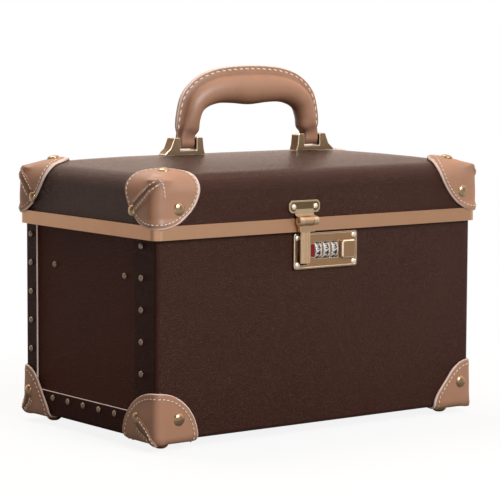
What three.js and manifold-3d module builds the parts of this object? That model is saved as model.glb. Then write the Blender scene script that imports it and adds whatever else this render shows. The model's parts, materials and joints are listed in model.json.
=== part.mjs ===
// Leather-cornered jewellery case: a hard-sided box with a domed lid on two rear stop hinges,
// a swinging padded handle, a hasp with a three-dial combination lock, and a lift-out tray.
// Millimetres, +Z up, +X to the right and -Y towards the front, standing on its feet at Z = 0.
import * as THREE from 'three';
import { mergeVertices } from 'three/addons/utils/BufferGeometryUtils.js';
import Module from 'manifold-3d';

const wasm = await Module();
wasm.setup();

// ---- driving dimensions ----------------------------------------------------------------------
const gap = 0.3; // between pieces that touch
const bodyWidth = 320;
const bodyDepth = 190;
const bodyHeight = 160; // underside of the body to its top edge
const bodyWall = 4;
const bodyEdge = 3.5; // radius of the body's outer edges
const flange = 1.5; // thickness of the wrap folded over the ends
const frontFlange = 30;
const rearFlange = 17;
const bottomFlange = 20;
const liningWall = 1.5;
const liningFloor = 3;
const liningLip = 6; // height of the lining above the body's top edge

const lidOverhang = 2.6;
const lidHeight = 52.4; // lid's lower edge to the top of its crown
const lidWall = 4;
const lidShoulder = 15;
const lidCrown = 7;
const lidCorner = 6;
const lidPadding = 17; // crown to the flat ceiling of the lining
const valanceHeight = 10.8;
const valanceDrop = 4; // how far the valance hangs below the parting line
const valanceWall = 1.1;
const valanceLip = 1.9;

const leather = 2; // thickness of the corner leather
const bodyCornerReach = 38.5;
const lidCornerReach = 41;
const lidCornerLap = 2.6; // how far the lid's corner leather laps over the valance
const lidCornerWide = 31; // height above the valance at which that leather is widest

const footRadius = 6.6;
const footHeight = 5.4;
const footInsetX = 16;
const footInsetY = 18;

const handleSpan = 128; // from pin to pin
const handleSetback = 3; // behind the middle of the lid
const handleRise = 62; // pin axis to the top of the grip
const strapWidth = 14.5;
const strapThickness = 8;
const legWidth = 21.5;
const legDepth = 17;
const gripHeight = 32;
const gripDepth = 22;
const handlePinRadius = 2;
const strapClear = 0.85; // between the strap and each cheek of its bracket
const bracketHeight = 14.4;
const bracketDepth = 10;
const bracketBar = 4;
const bracketPinHeight = 10.2;
const pinSeat = 3.6; // how deep the pin sits in each cheek

const lockWidth = 64.6;
const lockX = 2.8;
const lockPlate = 2.3; // to the top of its raised rim
const lockRim = 1.4;
const lockRecess = 0.8;
const lockBelowValance = 1.6;
const lockMargin = 2; // plate around the case behind it
const lockCaseWall = 1;
const lockCaseSide = 5.6; // case beside the first dial

const dialRadius = 8;
const dialWidth = 6.2;
const dialPitch = 8.4;
const dialX = 3.6; // the middle dial
const dialProud = 0.6; // in front of the plate's rim
const dialClear = 0.45; // window around the dial where it leaves the plate
const dialRoom = 0.7; // behind and below the dials
const dialDigits = 10;
const axleRadius = 1.4;
const axleRun = 0.1;

const buttonX = 24.3;
const buttonWidth = 14;
const buttonHeight = 14.8;
const buttonProud = 4;
const buttonTravel = 2.4;
const buttonStem = 6.6;
const boltThickness = 2.4;
const boltDepth = 2.5;

const haspX = -20.5;
const haspBarrelRadius = 3.55;
const haspBarrelLength = 18.6;
const haspKnuckle = 8.2; // the arm's knuckle, in the middle
const haspBarrelBelow = 2; // barrel axis below the valance's top edge
const haspClear = 0.45; // between the valance and what turns in front of it
const haspPlateWidth = 31;
const haspPlateHeight = 10;
const haspPlateRise = 4.2; // above the valance's top edge
const haspPlateThickness = 1.3;
const haspEndRise = 5.2; // the arm's end above the lock plate's lower edge
const haspArmWidth = 9.6;
const haspArmThickness = 4;
const haspShoulder = 15.4;
const haspShoulderHeight = 4.8;
const haspTongueWidth = 6;
const haspTongueHeight = 3.8;
const smallPin = 1.2;

const hingeInset = 65; // from each end of the body to the middle of its hinge
const hingeWidth = 34;
const hingeLeaf = 1;
const hingeBarrelRadius = 2.8;
const hingeKnuckle = 12; // the lid leaf's knuckle, in the middle
const hingeBelowParting = 7.5;
const hingeLeafLength = 20;
const hingeOpen = 100; // degrees

const trayClear = 1.4; // between the tray and the lining
const trayHeight = 26;
const trayWall = 3;
const railHeight = 8;
const railWidth = 8;
const railLength = 120;
const railTop = 29; // below the body's top edge
const rollCount = 5;
const rollZone = 104;
const dividerHeight = 19;
const notchRadius = 14;
const mirrorWidth = 230;
const mirrorDepth = 116;
const mirrorThickness = 2;
const mirrorBorder = 9;

// ---- places that follow from them ------------------------------------------------------------
const bodyBottom = footHeight + gap + leather + gap;
const bodyTop = bodyBottom + bodyHeight;
const halfWidth = bodyWidth / 2;
const halfDepth = bodyDepth / 2;
const lidBottom = bodyTop + gap;
const lidTop = lidBottom + lidHeight;
const valanceBottom = bodyTop - valanceDrop;
const valanceTop = valanceBottom + valanceHeight;
const valanceInner = lidOverhang + gap;
const valanceOuter = valanceInner + valanceWall;
const valanceFace = -halfDepth - valanceOuter;
const lidFace = -halfDepth - lidOverhang;
const ceiling = lidTop - lidPadding;

// ---- materials -------------------------------------------------------------------------------
function material(color, roughness, metalness = 0) {
  return new THREE.MeshStandardMaterial({ color, roughness, metalness });
}
const leatherette = material(0x3a2726, 0.45);
const tanLeather = material(0xa9795a, 0.5);
const antiqueBrass = material(0xa89070, 0.35, 1);
const copperTrim = material(0xb08a6c, 0.35, 1);
const suede = material(0x6b4a3a, 0.9);
const velvet = material(0x8a6450, 0.95);
const steel = material(0x9a9a9a, 0.3, 1);
const silvered = material(0xd8d4cc, 0.3, 0.8);
const glass = material(0xe6ecef, 0.02, 1);
const redEnamel = material(0xa01820, 0.35);

// ---- forms -----------------------------------------------------------------------------------
const radians = THREE.MathUtils.degToRad;
const axisX = new THREE.Vector3(1, 0, 0);
const axisY = new THREE.Vector3(0, 1, 0);
const axisZ = new THREE.Vector3(0, 0, 1);

function solid(geometry) {
  const loose = geometry.index ? geometry.toNonIndexed() : geometry.clone();
  loose.deleteAttribute('normal');
  loose.deleteAttribute('uv');
  const merged = mergeVertices(loose, 1e-4);
  return new wasm.Manifold(new wasm.Mesh({
    numProp: 3,
    vertProperties: merged.attributes.position.array,
    triVerts: new Uint32Array(merged.index.array),
  }));
}

function shape(form) {
  const { vertProperties, triVerts } = form.getMesh();
  const geometry = new THREE.BufferGeometry();
  geometry.setAttribute('position', new THREE.BufferAttribute(vertProperties, 3));
  geometry.setIndex(new THREE.BufferAttribute(triVerts, 1));
  const faceted = geometry.toNonIndexed();
  faceted.computeVertexNormals();
  return faceted;
}

function joined(first, ...rest) {
  return rest.reduce((form, other) => form.add(other), first);
}

function cut(form, ...cutters) {
  return cutters.reduce((left, cutter) => left.subtract(cutter), form);
}

function block(x0, x1, y0, y1, z0, z1) {
  const box = new THREE.BoxGeometry(x1 - x0, y1 - y0, z1 - z0);
  return solid(box.translate((x0 + x1) / 2, (y0 + y1) / 2, (z0 + z1) / 2));
}

// A cylinder along X, centred on x, y, z.
function barrel(radius, length, x, y, z, sides = 24) {
  const rod = new THREE.CylinderGeometry(radius, radius, length, sides);
  return solid(rod.rotateZ(Math.PI / 2).translate(x, y, z));
}

function roundedRect(halfX, halfY, radius, x = 0, y = 0) {
  const outline = new THREE.Shape();
  outline.moveTo(x - halfX + radius, y - halfY);
  for (const [sx, sy, start] of [[1, -1, -90], [1, 1, 0], [-1, 1, 90], [-1, -1, 180]]) {
    const cx = x + sx * (halfX - radius);
    const cy = y + sy * (halfY - radius);
    outline.absarc(cx, cy, radius, radians(start), radians(start + 90), false);
  }
  return outline;
}

function extrusion(outline, depth, bevel = 0, curveSegments = 2) {
  return new THREE.ExtrudeGeometry(outline, {
    depth: depth - bevel,
    curveSegments,
    bevelEnabled: bevel > 0,
    bevelThickness: bevel,
    bevelSize: bevel,
    bevelOffset: -bevel,
    bevelSegments: 2,
  });
}

// An outline drawn in X and Y, standing from z0 to z1.
function upright(outline, z0, z1) {
  return solid(extrusion(outline, z1 - z0).translate(0, 0, z0));
}

// An outline drawn in Y and Z, running along X from x0 to x1.
function alongX(outline, x0, x1) {
  const turn = new THREE.Matrix4().makeBasis(axisY, axisZ, axisX);
  return solid(extrusion(outline, x1 - x0).applyMatrix4(turn).translate(x0, 0, 0));
}

// An outline drawn in X and Z, growing forwards from back to front, with its front edge bevelled.
function forwards(outline, back, front, bevel = 0) {
  const turn = new THREE.Matrix4().makeBasis(axisX, axisZ, axisY.clone().negate());
  const plain = extrusion(outline, back - front, bevel);
  const form = solid(plain.applyMatrix4(turn).translate(0, back, 0));
  return bevel ? form.subtract(block(-1000, 1000, back, back + 10, -1000, 1000)) : form;
}

// The outline of a bent sheet that follows a centre line.
function sheetOutline(line, thickness) {
  const points = line.map(([u, v]) => new THREE.Vector2(u, v));
  const side = points.map((point, i) => {
    const before = points[Math.max(i - 1, 0)];
    const after = points[Math.min(i + 1, points.length - 1)];
    const along = after.clone().sub(before).normalize();
    return new THREE.Vector2(-along.y, along.x).multiplyScalar(thickness / 2);
  });
  const left = points.map((point, i) => point.clone().add(side[i]));
  const right = points.map((point, i) => point.clone().sub(side[i]));
  return new THREE.Shape([...right, ...left.reverse()]);
}

// A ring of points round a rounded rectangle, anticlockwise from above.
function ring(halfX, halfY, radius, z, steps = 4) {
  const points = [];
  for (const [sx, sy, start] of [[1, 1, 0], [-1, 1, 90], [-1, -1, 180], [1, -1, 270]]) {
    for (let i = 0; i <= steps; i++) {
      const angle = radians(start + (90 * i) / steps);
      const x = sx * (halfX - radius) + radius * Math.cos(angle);
      const y = sy * (halfY - radius) + radius * Math.sin(angle);
      points.push(new THREE.Vector3(x, y, z));
    }
  }
  return points;
}

// A closed skin over rings of equal count, each ring anticlockwise seen along the way to the next.
function loft(rings) {
  const count = rings[0].length;
  const points = rings.flat();
  const faces = [];
  const centre = (points) => points.reduce((sum, p) => sum.add(p), new THREE.Vector3())
    .divideScalar(points.length);
  const first = points.length;
  points.push(centre(rings[0]), centre(rings.at(-1)));
  for (let i = 0; i < count; i++) {
    const next = (i + 1) % count;
    for (let r = 0; r < rings.length - 1; r++) {
      const low = r * count;
      const high = low + count;
      faces.push(low + i, low + next, high + next, low + i, high + next, high + i);
    }
    const last = (rings.length - 1) * count;
    faces.push(first, next, i, first + 1, last + i, last + next);
  }
  const geometry = new THREE.BufferGeometry().setFromPoints(points);
  geometry.setIndex(faces);
  return solid(geometry);
}

// The body's outer form, grown by a thickness on every side but the top.
function bodyForm(grow = 0, top = bodyTop) {
  const radius = bodyEdge + grow;
  const rings = [];
  for (let i = 0; i <= 3; i++) {
    const angle = radians((90 * i) / 3);
    const inset = radius * (1 - Math.sin(angle));
    const z = bodyBottom - grow + radius * (1 - Math.cos(angle));
    rings.push(ring(halfWidth + grow - inset, halfDepth + grow - inset, radius, z));
  }
  rings.push(ring(halfWidth + grow, halfDepth + grow, radius, top));
  return loft(rings);
}

// The lid's form, grown by a thickness: upright walls, a round shoulder and a shallow crown.
function lidForm(grow, bottom) {
  const halfX = halfWidth + lidOverhang;
  const halfY = halfDepth + lidOverhang;
  const wallTop = lidTop - lidCrown - lidShoulder;
  const turn = Math.atan((halfY - lidShoulder) / (2 * lidCrown));
  const stations = [];
  const shoulderSteps = 6;
  for (let i = 0; i <= shoulderSteps; i++) {
    const facing = (turn * i) / shoulderSteps;
    const inset = lidShoulder * (1 - Math.cos(facing));
    stations.push([inset, wallTop + lidShoulder * Math.sin(facing), facing]);
  }
  const [crownInset, crownBase] = stations.at(-1);
  for (const share of [0.2, 0.4, 0.65, 0.95]) {
    const inset = crownInset + share * (halfY - crownInset);
    const rise = (lidTop - crownBase) * (1 - (1 - share) ** 2);
    stations.push([inset, crownBase + rise, Math.atan(Math.tan(turn) / (1 - share))]);
  }
  const placed = stations.map(([inset, z, facing]) => {
    const out = grow * Math.cos(facing) - inset;
    const radius = lidCorner + 0.35 * inset + grow * Math.cos(facing);
    return ring(halfX + out, halfY + out, Math.min(radius, halfY + out - 0.5),
      z + grow * Math.sin(facing));
  });
  return loft([ring(halfX + grow, halfY + grow, lidCorner + grow, bottom), ...placed]);
}

// A slab that stands out from the body by a reach on every side.
function slab(reach, z0, z1) {
  const radius = lidCorner + reach - lidOverhang;
  return loft([z0, z1].map((z) => ring(halfWidth + reach, halfDepth + reach, radius, z)));
}

function band(inner, outer, z0, z1) {
  return slab(outer, z0, z1).subtract(slab(inner, z0 - 1, z1 + 1));
}

// A ball whose lower and upper halves reach to heights of their own.
function egg(radius, below, above, x, y, z) {
  const ball = new THREE.SphereGeometry(radius, 28, 16).rotateX(Math.PI / 2);
  const points = ball.attributes.position;
  for (let i = 0; i < points.count; i++) {
    const height = points.getZ(i) / radius;
    points.setZ(i, height * (height < 0 ? below : above));
  }
  return solid(ball.translate(x, y, z));
}

// ---- groups that move together ---------------------------------------------------------------
const jewelleryCase = new THREE.Group();
const body = new THREE.Group();
const lid = new THREE.Group();
const handle = new THREE.Group();
const hasp = new THREE.Group();
const tray = new THREE.Group();
const release = new THREE.Group();
const dials = new THREE.Group();
jewelleryCase.add(body, lid, handle, hasp, tray, release, dials);

function add(group, name, look, form) {
  const mesh = new THREE.Mesh(form.isBufferGeometry ? form : shape(form), look);
  mesh.name = name;
  group.add(mesh);
  return mesh;
}

const corners = [
  ['front_left', -1, -1],
  ['front_right', 1, -1],
  ['rear_left', -1, 1],
  ['rear_right', 1, 1],
];
const sides = [['left', -1], ['right', 1]];

// ---- lock and hasp places ---------------------------------------------------------------------
const lockHeight = 2 * (dialRadius + dialRoom + boltThickness + gap + lockCaseWall + lockMargin);
const lockTop = valanceBottom - lockBelowValance;
const lockBottom = lockTop - lockHeight;
const lockZ = (lockTop + lockBottom) / 2;
const lockBack = -halfDepth - gap;
const lockFront = lockBack - lockPlate;
const lockFace = lockFront + lockRecess;
const dialY = lockFront - dialProud + dialRadius;
const dialEdge = dialRadius - dialProud - lockPlate; // from its axis to the plate's back
const dialWindow = 2 * (Math.sqrt(dialRadius ** 2 - dialEdge ** 2) + dialClear);
const caseFront = -halfDepth;
const caseBack = dialY + dialRadius + dialRoom + lockCaseWall;
const caseLeft = dialX - 1.5 * dialPitch - lockCaseSide;
const caseRight = buttonX + buttonWidth / 2 + buttonTravel + lockCaseWall;
const caseBottom = lockBottom + lockMargin;
const caseTop = lockTop - lockMargin;
const caseDivider = dialX + 1.5 * dialPitch + gap;
const boltBack = -halfDepth + bodyWall - 0.5;
const boltFront = boltBack - boltDepth;
const boltLow = caseBottom + lockCaseWall + gap;
const haspAxisY = valanceFace - haspBarrelRadius - haspClear;
const haspAxisZ = valanceTop - haspBarrelBelow;
const haspEnd = lockBottom + haspEndRise;
const haspBack = valanceFace - haspClear;
const tongueBack = -halfDepth + bodyWall - 0.4;
const tongueLow = haspEnd + 0.4;
const tongueSweep = Math.hypot(tongueBack - haspAxisY, haspAxisZ - tongueLow);
const channelBottom = haspAxisZ - tongueSweep - 0.3;

// ---- body -------------------------------------------------------------------------------------
// One board wraps the front, bottom and back, and its edges fold over the ends as flanges.
function bodyWrap() {
  const high = bodyTop + 20;
  const inside = block(-halfWidth + flange, halfWidth - flange, -halfDepth + bodyWall,
    halfDepth - bodyWall, bodyBottom + bodyWall, high);
  const windows = sides.map(([, side]) => {
    const inner = side * (halfWidth - flange - 1);
    const outer = side * (halfWidth + 1);
    return block(Math.min(inner, outer), Math.max(inner, outer), -halfDepth + frontFlange,
      halfDepth - rearFlange, bodyBottom + bottomFlange, high);
  });
  const lockOpening = block(caseLeft - gap, caseRight + gap, -halfDepth - 1,
    -halfDepth + bodyWall + 1, caseBottom - gap, caseTop + gap);
  const notchHalf = haspTongueWidth / 2 + 0.6;
  const tongueNotch = block(haspX - notchHalf, haspX + notchHalf, -halfDepth - 1,
    -halfDepth + bodyWall + 1, channelBottom, high);
  const boltPassage = block(haspX, caseLeft, -halfDepth - 1, -halfDepth + bodyWall + 1,
    boltLow - gap, tongueLow + haspTongueHeight + gap);
  return cut(bodyForm(), inside, ...windows, lockOpening, tongueNotch, boltPassage);
}
add(body, 'body_wrap', leatherette, bodyWrap());

function endPanel(side) {
  const width = bodyDepth / 2 - bodyWall - gap;
  const low = bodyBottom + bodyWall + gap;
  const outline = roundedRect(width, (bodyTop - low) / 2, 2, 0, (bodyTop + low) / 2);
  const outer = halfWidth - flange - gap;
  return side < 0 ? alongX(outline, -outer, bodyWall - outer) : alongX(outline, outer - bodyWall, outer);
}
for (const [name, side] of sides) add(body, `end_panel_${name}`, leatherette, endPanel(side));

const liningX = halfWidth - flange - gap - bodyWall - gap;
const liningY = halfDepth - bodyWall - gap;
const liningBottom = bodyBottom + bodyWall + gap;
const liningTop = bodyTop + liningLip;
function bodyLining() {
  const outer = upright(roundedRect(liningX, liningY, 3), liningBottom, liningTop);
  const inner = upright(roundedRect(liningX - liningWall, liningY - liningWall, 3),
    liningBottom + liningFloor, liningTop + 1);
  const lockHole = block(caseLeft - gap, caseRight + gap, -liningY - 1,
    -liningY + liningWall + 1, caseBottom - gap, caseTop + gap);
  return cut(outer, inner, lockHole);
}
add(body, 'body_lining', suede, bodyLining());

// Formed leather that wraps a corner of the body, with the foot standing on its lower face.
const bodyCornerForm = cut(bodyForm(gap + leather), bodyForm(gap, bodyTop + 1))
  .intersect(egg(bodyCornerReach, bodyCornerReach, bodyCornerReach, -halfWidth, -halfDepth, bodyBottom));
for (const [name, sx, sy] of corners) {
  add(body, `body_corner_${name}`, tanLeather, bodyCornerForm).scale.set(-sx, -sy, 1);
}

function footProfile() {
  const points = [new THREE.Vector2(0, 0)];
  const flat = footRadius * 0.45;
  for (let i = 0; i <= 4; i++) {
    const angle = radians(22.5 * i);
    const radius = flat + (footRadius - flat) * Math.sin(angle);
    points.push(new THREE.Vector2(radius, footHeight * 0.8 * (1 - Math.cos(angle))));
  }
  points.push(new THREE.Vector2(footRadius, footHeight), new THREE.Vector2(0, footHeight));
  return points;
}
const footForm = solid(new THREE.LatheGeometry(footProfile(), 20).rotateX(Math.PI / 2));
for (const [name, sx, sy] of corners) {
  const foot = add(body, `foot_${name}`, antiqueBrass, footForm);
  foot.position.set(sx * (halfWidth - footInsetX), sy * (halfDepth - footInsetY), 0);
}

// ---- combination lock -------------------------------------------------------------------------
function lockPlateForm() {
  const outline = roundedRect(lockWidth / 2, lockHeight / 2, 2.2, lockX, lockZ);
  const recess = roundedRect(lockWidth / 2 - lockRim, lockHeight / 2 - lockRim, 1, lockX, lockZ);
  const plate = forwards(outline, lockBack, lockFront, 0.5);
  const windows = dialPlaces.map((x) => block(x - dialWidth / 2 - gap, x + dialWidth / 2 + gap,
    lockFront - 1, lockBack + 1, lockZ - dialWindow / 2, lockZ + dialWindow / 2));
  const channelHalf = haspArmWidth / 2;
  const channel = block(haspX - channelHalf, haspX + channelHalf, lockFront - 1, lockBack + 1,
    channelBottom, lockTop + 1);
  const indexHole = block(indexX - indexWidth / 2 - gap, indexX + indexWidth / 2 + gap,
    lockFront - 1, lockBack + 1, lockZ - indexHeight / 2 - gap, lockZ + indexHeight / 2 + gap);
  const stemSlot = block(buttonX - buttonStem / 2 - gap, buttonX + buttonStem / 2 + buttonTravel + gap,
    lockFront - 1, lockBack + 1, lockZ - buttonStem / 2 - gap, lockZ + buttonStem / 2 + gap);
  return cut(plate, forwards(recess, lockFace, lockFront - 1), ...windows, channel, indexHole,
    stemSlot);
}
const dialPlaces = [-1, 0, 1].map((step) => dialX + step * dialPitch);
const indexWidth = 3.2;
const indexHeight = 9.8;
const indexClear = 0.5; // beside the first dial
const indexX = dialPlaces[0] - dialWidth / 2 - indexClear - indexWidth / 2;
add(body, 'lock_plate', antiqueBrass, lockPlateForm());
add(body, 'lock_index', redEnamel, block(indexX - indexWidth / 2, indexX + indexWidth / 2,
  lockFace - 0.2, lockBack, lockZ - indexHeight / 2, lockZ + indexHeight / 2));

// A pressed box behind the plate, with one chamber for the dials and one for the button.
function lockCaseForm() {
  const box = block(caseLeft, caseRight, caseFront, caseBack, caseBottom, caseTop);
  const chamber = (x0, x1) => block(x0, x1, caseFront - 1, caseBack - lockCaseWall,
    caseBottom + lockCaseWall, caseTop - lockCaseWall);
  const dialChamber = chamber(caseLeft + lockCaseWall, caseDivider);
  const buttonChamber = chamber(caseDivider + lockCaseWall, caseRight - lockCaseWall);
  const axleHole = barrel(axleRadius + gap, caseDivider + 2 - caseLeft,
    (caseLeft + caseDivider) / 2, dialY, lockZ);
  const boltSlot = block(caseLeft - 1, caseDivider + 2, boltFront - gap, boltBack + gap,
    boltLow - gap, boltLow + boltThickness + gap);
  const noseSlot = block(caseLeft - 1, caseLeft + 2, boltFront - gap, boltBack + gap,
    boltLow - gap, tongueLow + haspTongueHeight + gap);
  return cut(box, dialChamber, buttonChamber, axleHole, boltSlot, noseSlot);
}
add(body, 'lock_case', steel, lockCaseForm());
add(body, 'dial_axle', steel, barrel(axleRadius, caseDivider + lockCaseWall - caseLeft,
  (caseLeft + caseDivider + lockCaseWall) / 2, dialY, lockZ, 16));

// A wheel with one flat-bottomed groove between each two digits.
function dialForm() {
  const outline = new THREE.Shape();
  const pitch = 360 / dialDigits;
  for (let i = 0; i < dialDigits; i++) {
    const land = radians(i * pitch);
    outline.absarc(0, 0, dialRadius, land - radians(13), land + radians(13), false);
    outline.absarc(0, 0, dialRadius - 0.5, land + radians(15), land + radians(21), false);
  }
  const wheel = extrusion(outline, dialWidth, 0, 1).translate(0, 0, -dialWidth / 2);
  return cut(solid(wheel.rotateY(Math.PI / 2)),
    barrel(axleRadius + axleRun, dialWidth + 2, 0, 0, 0, 16));
}
const dialShape = shape(dialForm());
dialPlaces.forEach((x, i) => {
  add(dials, `dial_${i + 1}`, silvered, dialShape).position.set(x, dialY, lockZ);
});

function releaseButton() {
  const cap = forwards(roundedRect(buttonWidth / 2, buttonHeight / 2, 2.2, buttonX, lockZ),
    lockFace - gap, lockFace - buttonProud, 1.4);
  const stem = block(buttonX - buttonStem / 2, buttonX + buttonStem / 2, lockFace - gap - 1,
    boltFront - gap, lockZ - buttonStem / 2, lockZ + buttonStem / 2);
  return joined(cap, stem);
}
add(release, 'release_button', antiqueBrass, releaseButton());

// The bolt hangs from the button, runs under the dials and rises to meet the hasp's tongue.
function boltForm() {
  const nose = haspX + haspTongueWidth / 2 + 1;
  const rise = dialPlaces[0] - dialWidth / 2 - buttonTravel - dialRoom;
  const foot = rise - boltDepth;
  const high = tongueLow + haspTongueHeight;
  const bar = boltLow + boltThickness;
  const left = buttonX - buttonStem / 2;
  const right = buttonX + buttonStem / 2;
  const outline = new THREE.Shape([
    [nose, tongueLow + 0.4], [foot, tongueLow + 0.4], [foot, boltLow], [right, boltLow],
    [right, lockZ + buttonStem / 2], [left, lockZ + buttonStem / 2], [left, bar], [rise, bar],
    [rise, high], [nose + 1.5, high],
  ].map(([x, z]) => new THREE.Vector2(x, z)));
  return forwards(outline, boltBack, boltFront);
}
add(release, 'lock_bolt', steel, boltForm());

// ---- lid --------------------------------------------------------------------------------------
add(lid, 'lid_shell', leatherette, cut(lidForm(0, lidBottom), lidForm(-lidWall, lidBottom - 1)));

function lidLining() {
  const outer = lidForm(-lidWall - gap, lidBottom + gap);
  const hollow = lidForm(-lidWall - gap - liningWall, lidBottom - 1);
  const below = block(-bodyWidth, bodyWidth, -bodyDepth, bodyDepth, lidBottom - 2, ceiling);
  return cut(outer, hollow.intersect(below));
}
add(lid, 'lid_lining', suede, lidLining());

// The valance covers the parting line, with a lip turned in towards the body.
add(lid, 'lid_valance', copperTrim, joined(
  band(valanceInner, valanceOuter, valanceBottom, valanceTop),
  band(valanceInner - valanceLip, valanceInner + valanceWall / 2, valanceBottom, valanceBottom + 1),
));

// Its outline is egg-shaped: a short lobe down to the valance and a longer one over the top.
function lidCornerForm() {
  const low = valanceBottom - 20;
  const envelope = (grow) => joined(lidForm(grow, low), slab(valanceOuter + grow, low, valanceTop + grow));
  const outline = egg(lidCornerReach, lidCornerWide + lidCornerLap, lidCornerReach * 1.2,
    -halfWidth - lidOverhang, -halfDepth - lidOverhang, valanceTop + lidCornerWide);
  return cut(envelope(gap + leather), envelope(gap)).intersect(outline);
}
const lidCornerShape = lidCornerForm();
for (const [name, sx, sy] of corners) {
  add(lid, `lid_corner_${name}`, tanLeather, lidCornerShape).scale.set(-sx, -sy, 1);
}

const mirrorZ = ceiling - gap;
const frameThickness = mirrorThickness + 1.4;
function mirrorFrame() {
  const halfX = mirrorWidth / 2 + mirrorBorder;
  const halfY = mirrorDepth / 2 + mirrorBorder;
  const board = upright(roundedRect(halfX, halfY, 8), mirrorZ - frameThickness, mirrorZ);
  const seat = upright(roundedRect(mirrorWidth / 2 + gap, mirrorDepth / 2 + gap, 4),
    mirrorZ - mirrorThickness - gap, mirrorZ + 1);
  const view = upright(roundedRect(mirrorWidth / 2 - 2, mirrorDepth / 2 - 2, 3),
    mirrorZ - frameThickness - 1, mirrorZ);
  return cut(board, seat, view);
}
add(lid, 'mirror_frame', tanLeather, mirrorFrame());
add(lid, 'mirror', glass, upright(roundedRect(mirrorWidth / 2, mirrorDepth / 2, 4),
  mirrorZ - mirrorThickness, mirrorZ));

// ---- handle -----------------------------------------------------------------------------------
const bracketBase = lidTop + gap;
const bracketGap = strapWidth + 2 * strapClear;
const handleAxis = bracketBase + bracketPinHeight;

// A cast bracket: two flared cheeks joined by a bar, the outer cheek with the longer flare.
function bracketForm() {
  const inner = bracketGap / 2;
  const outline = new THREE.Shape();
  outline.moveTo(-inner - 15.2, 0);
  outline.lineTo(inner + 8.6, 0);
  outline.quadraticCurveTo(inner + 6.8, 3, inner + 6.2, bracketHeight - 1);
  outline.lineTo(inner + 5.2, bracketHeight);
  outline.lineTo(inner + 0.6, bracketHeight);
  outline.lineTo(inner, bracketHeight - 1);
  outline.lineTo(inner, bracketBar);
  outline.lineTo(-inner, bracketBar);
  outline.lineTo(-inner, bracketHeight - 1);
  outline.lineTo(-inner - 0.6, bracketHeight);
  outline.lineTo(-inner - 6, bracketHeight);
  outline.quadraticCurveTo(-inner - 8.8, 3.6, -inner - 15.2, 1.2);
  const cast = forwards(outline, bracketDepth / 2, -bracketDepth / 2, 0);
  return cut(cast, barrel(handlePinRadius + gap, bracketGap + 2 * (pinSeat + gap), 0, 0, bracketPinHeight, 16));
}
const bracketShape = bracketForm();
const pinForm = barrel(handlePinRadius, bracketGap + 2 * pinSeat, 0, 0, 0, 16);
for (const [name, side] of sides) {
  const bracket = add(lid, `handle_bracket_${name}`, antiqueBrass, bracketShape);
  bracket.scale.set(-side, 1, 1);
  bracket.position.set((side * handleSpan) / 2, handleSetback, bracketBase);
  const pin = add(lid, `handle_pin_${name}`, antiqueBrass, pinForm);
  pin.position.set((side * handleSpan) / 2, handleSetback, handleAxis);
}

// The padded grip: sections along an arch, flat straps at the pins and fullest in the hand.
function handleGrip() {
  const half = handleSpan / 2;
  const top = handleRise - gripHeight / 2;
  const stations = [
    [half, 0, strapWidth, strapThickness],
    [half, 6.6, strapWidth, strapThickness],
    [half, 9, legWidth * 0.9, legDepth * 0.8],
    [half + 0.4, 15, legWidth, legDepth],
    [half - 3, 0.61 * top, legWidth + 1, legDepth + 1.5],
    [half - 13.5, 0.86 * top, legWidth + 4, gripDepth - 1.5],
    [half - 33, 0.987 * top, gripHeight - 3.5, gripDepth],
    [0, top, gripHeight, gripDepth],
  ];
  const left = stations.map(([x, ...rest]) => [-x, ...rest]);
  const whole = [...left, ...stations.slice(0, -1).reverse()];
  const path = new THREE.CatmullRomCurve3(whole.map(([x, z]) => new THREE.Vector3(x, 0, z)));
  const widths = new THREE.SplineCurve(whole.map(([, , w, d]) => new THREE.Vector2(w, d)));
  const count = 28;
  const rings = [];
  for (let i = 0; i <= count; i++) {
    const share = i / count;
    const centre = path.getPoint(share);
    const along = path.getTangent(share);
    const across = new THREE.Vector3(along.z, 0, -along.x);
    const size = widths.getPoint(share);
    const points = [];
    for (let k = 0; k < 16; k++) {
      const angle = (2 * Math.PI * k) / 16;
      const u = Math.sign(Math.cos(angle)) * Math.abs(Math.cos(angle)) ** 0.8;
      const v = Math.sign(Math.sin(angle)) * Math.abs(Math.sin(angle)) ** 0.8;
      points.push(centre.clone().addScaledVector(across, (u * size.x) / 2)
        .addScaledVector(axisY, (v * size.y) / 2));
    }
    rings.push(points);
  }
  const loops = [-half, half].map((x) => barrel(strapThickness / 2, strapWidth, x, 0, 0));
  const bores = [-half, half].map((x) => barrel(handlePinRadius + gap, strapWidth + 20, x, 0, 0, 16));
  return cut(joined(loft(rings), ...loops), ...bores);
}
add(handle, 'handle_grip', tanLeather, handleGrip()).position.set(0, handleSetback, handleAxis);

// ---- hasp -------------------------------------------------------------------------------------
function chamferedRect(halfX, halfZ, chamfer, x, z) {
  return new THREE.Shape([
    [-halfX + chamfer, -halfZ], [halfX - chamfer, -halfZ], [halfX, -halfZ + chamfer],
    [halfX, halfZ - chamfer], [halfX - chamfer, halfZ], [-halfX + chamfer, halfZ],
    [-halfX, halfZ - chamfer], [-halfX, -halfZ + chamfer],
  ].map(([u, v]) => new THREE.Vector2(x + u, z + v)));
}

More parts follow.
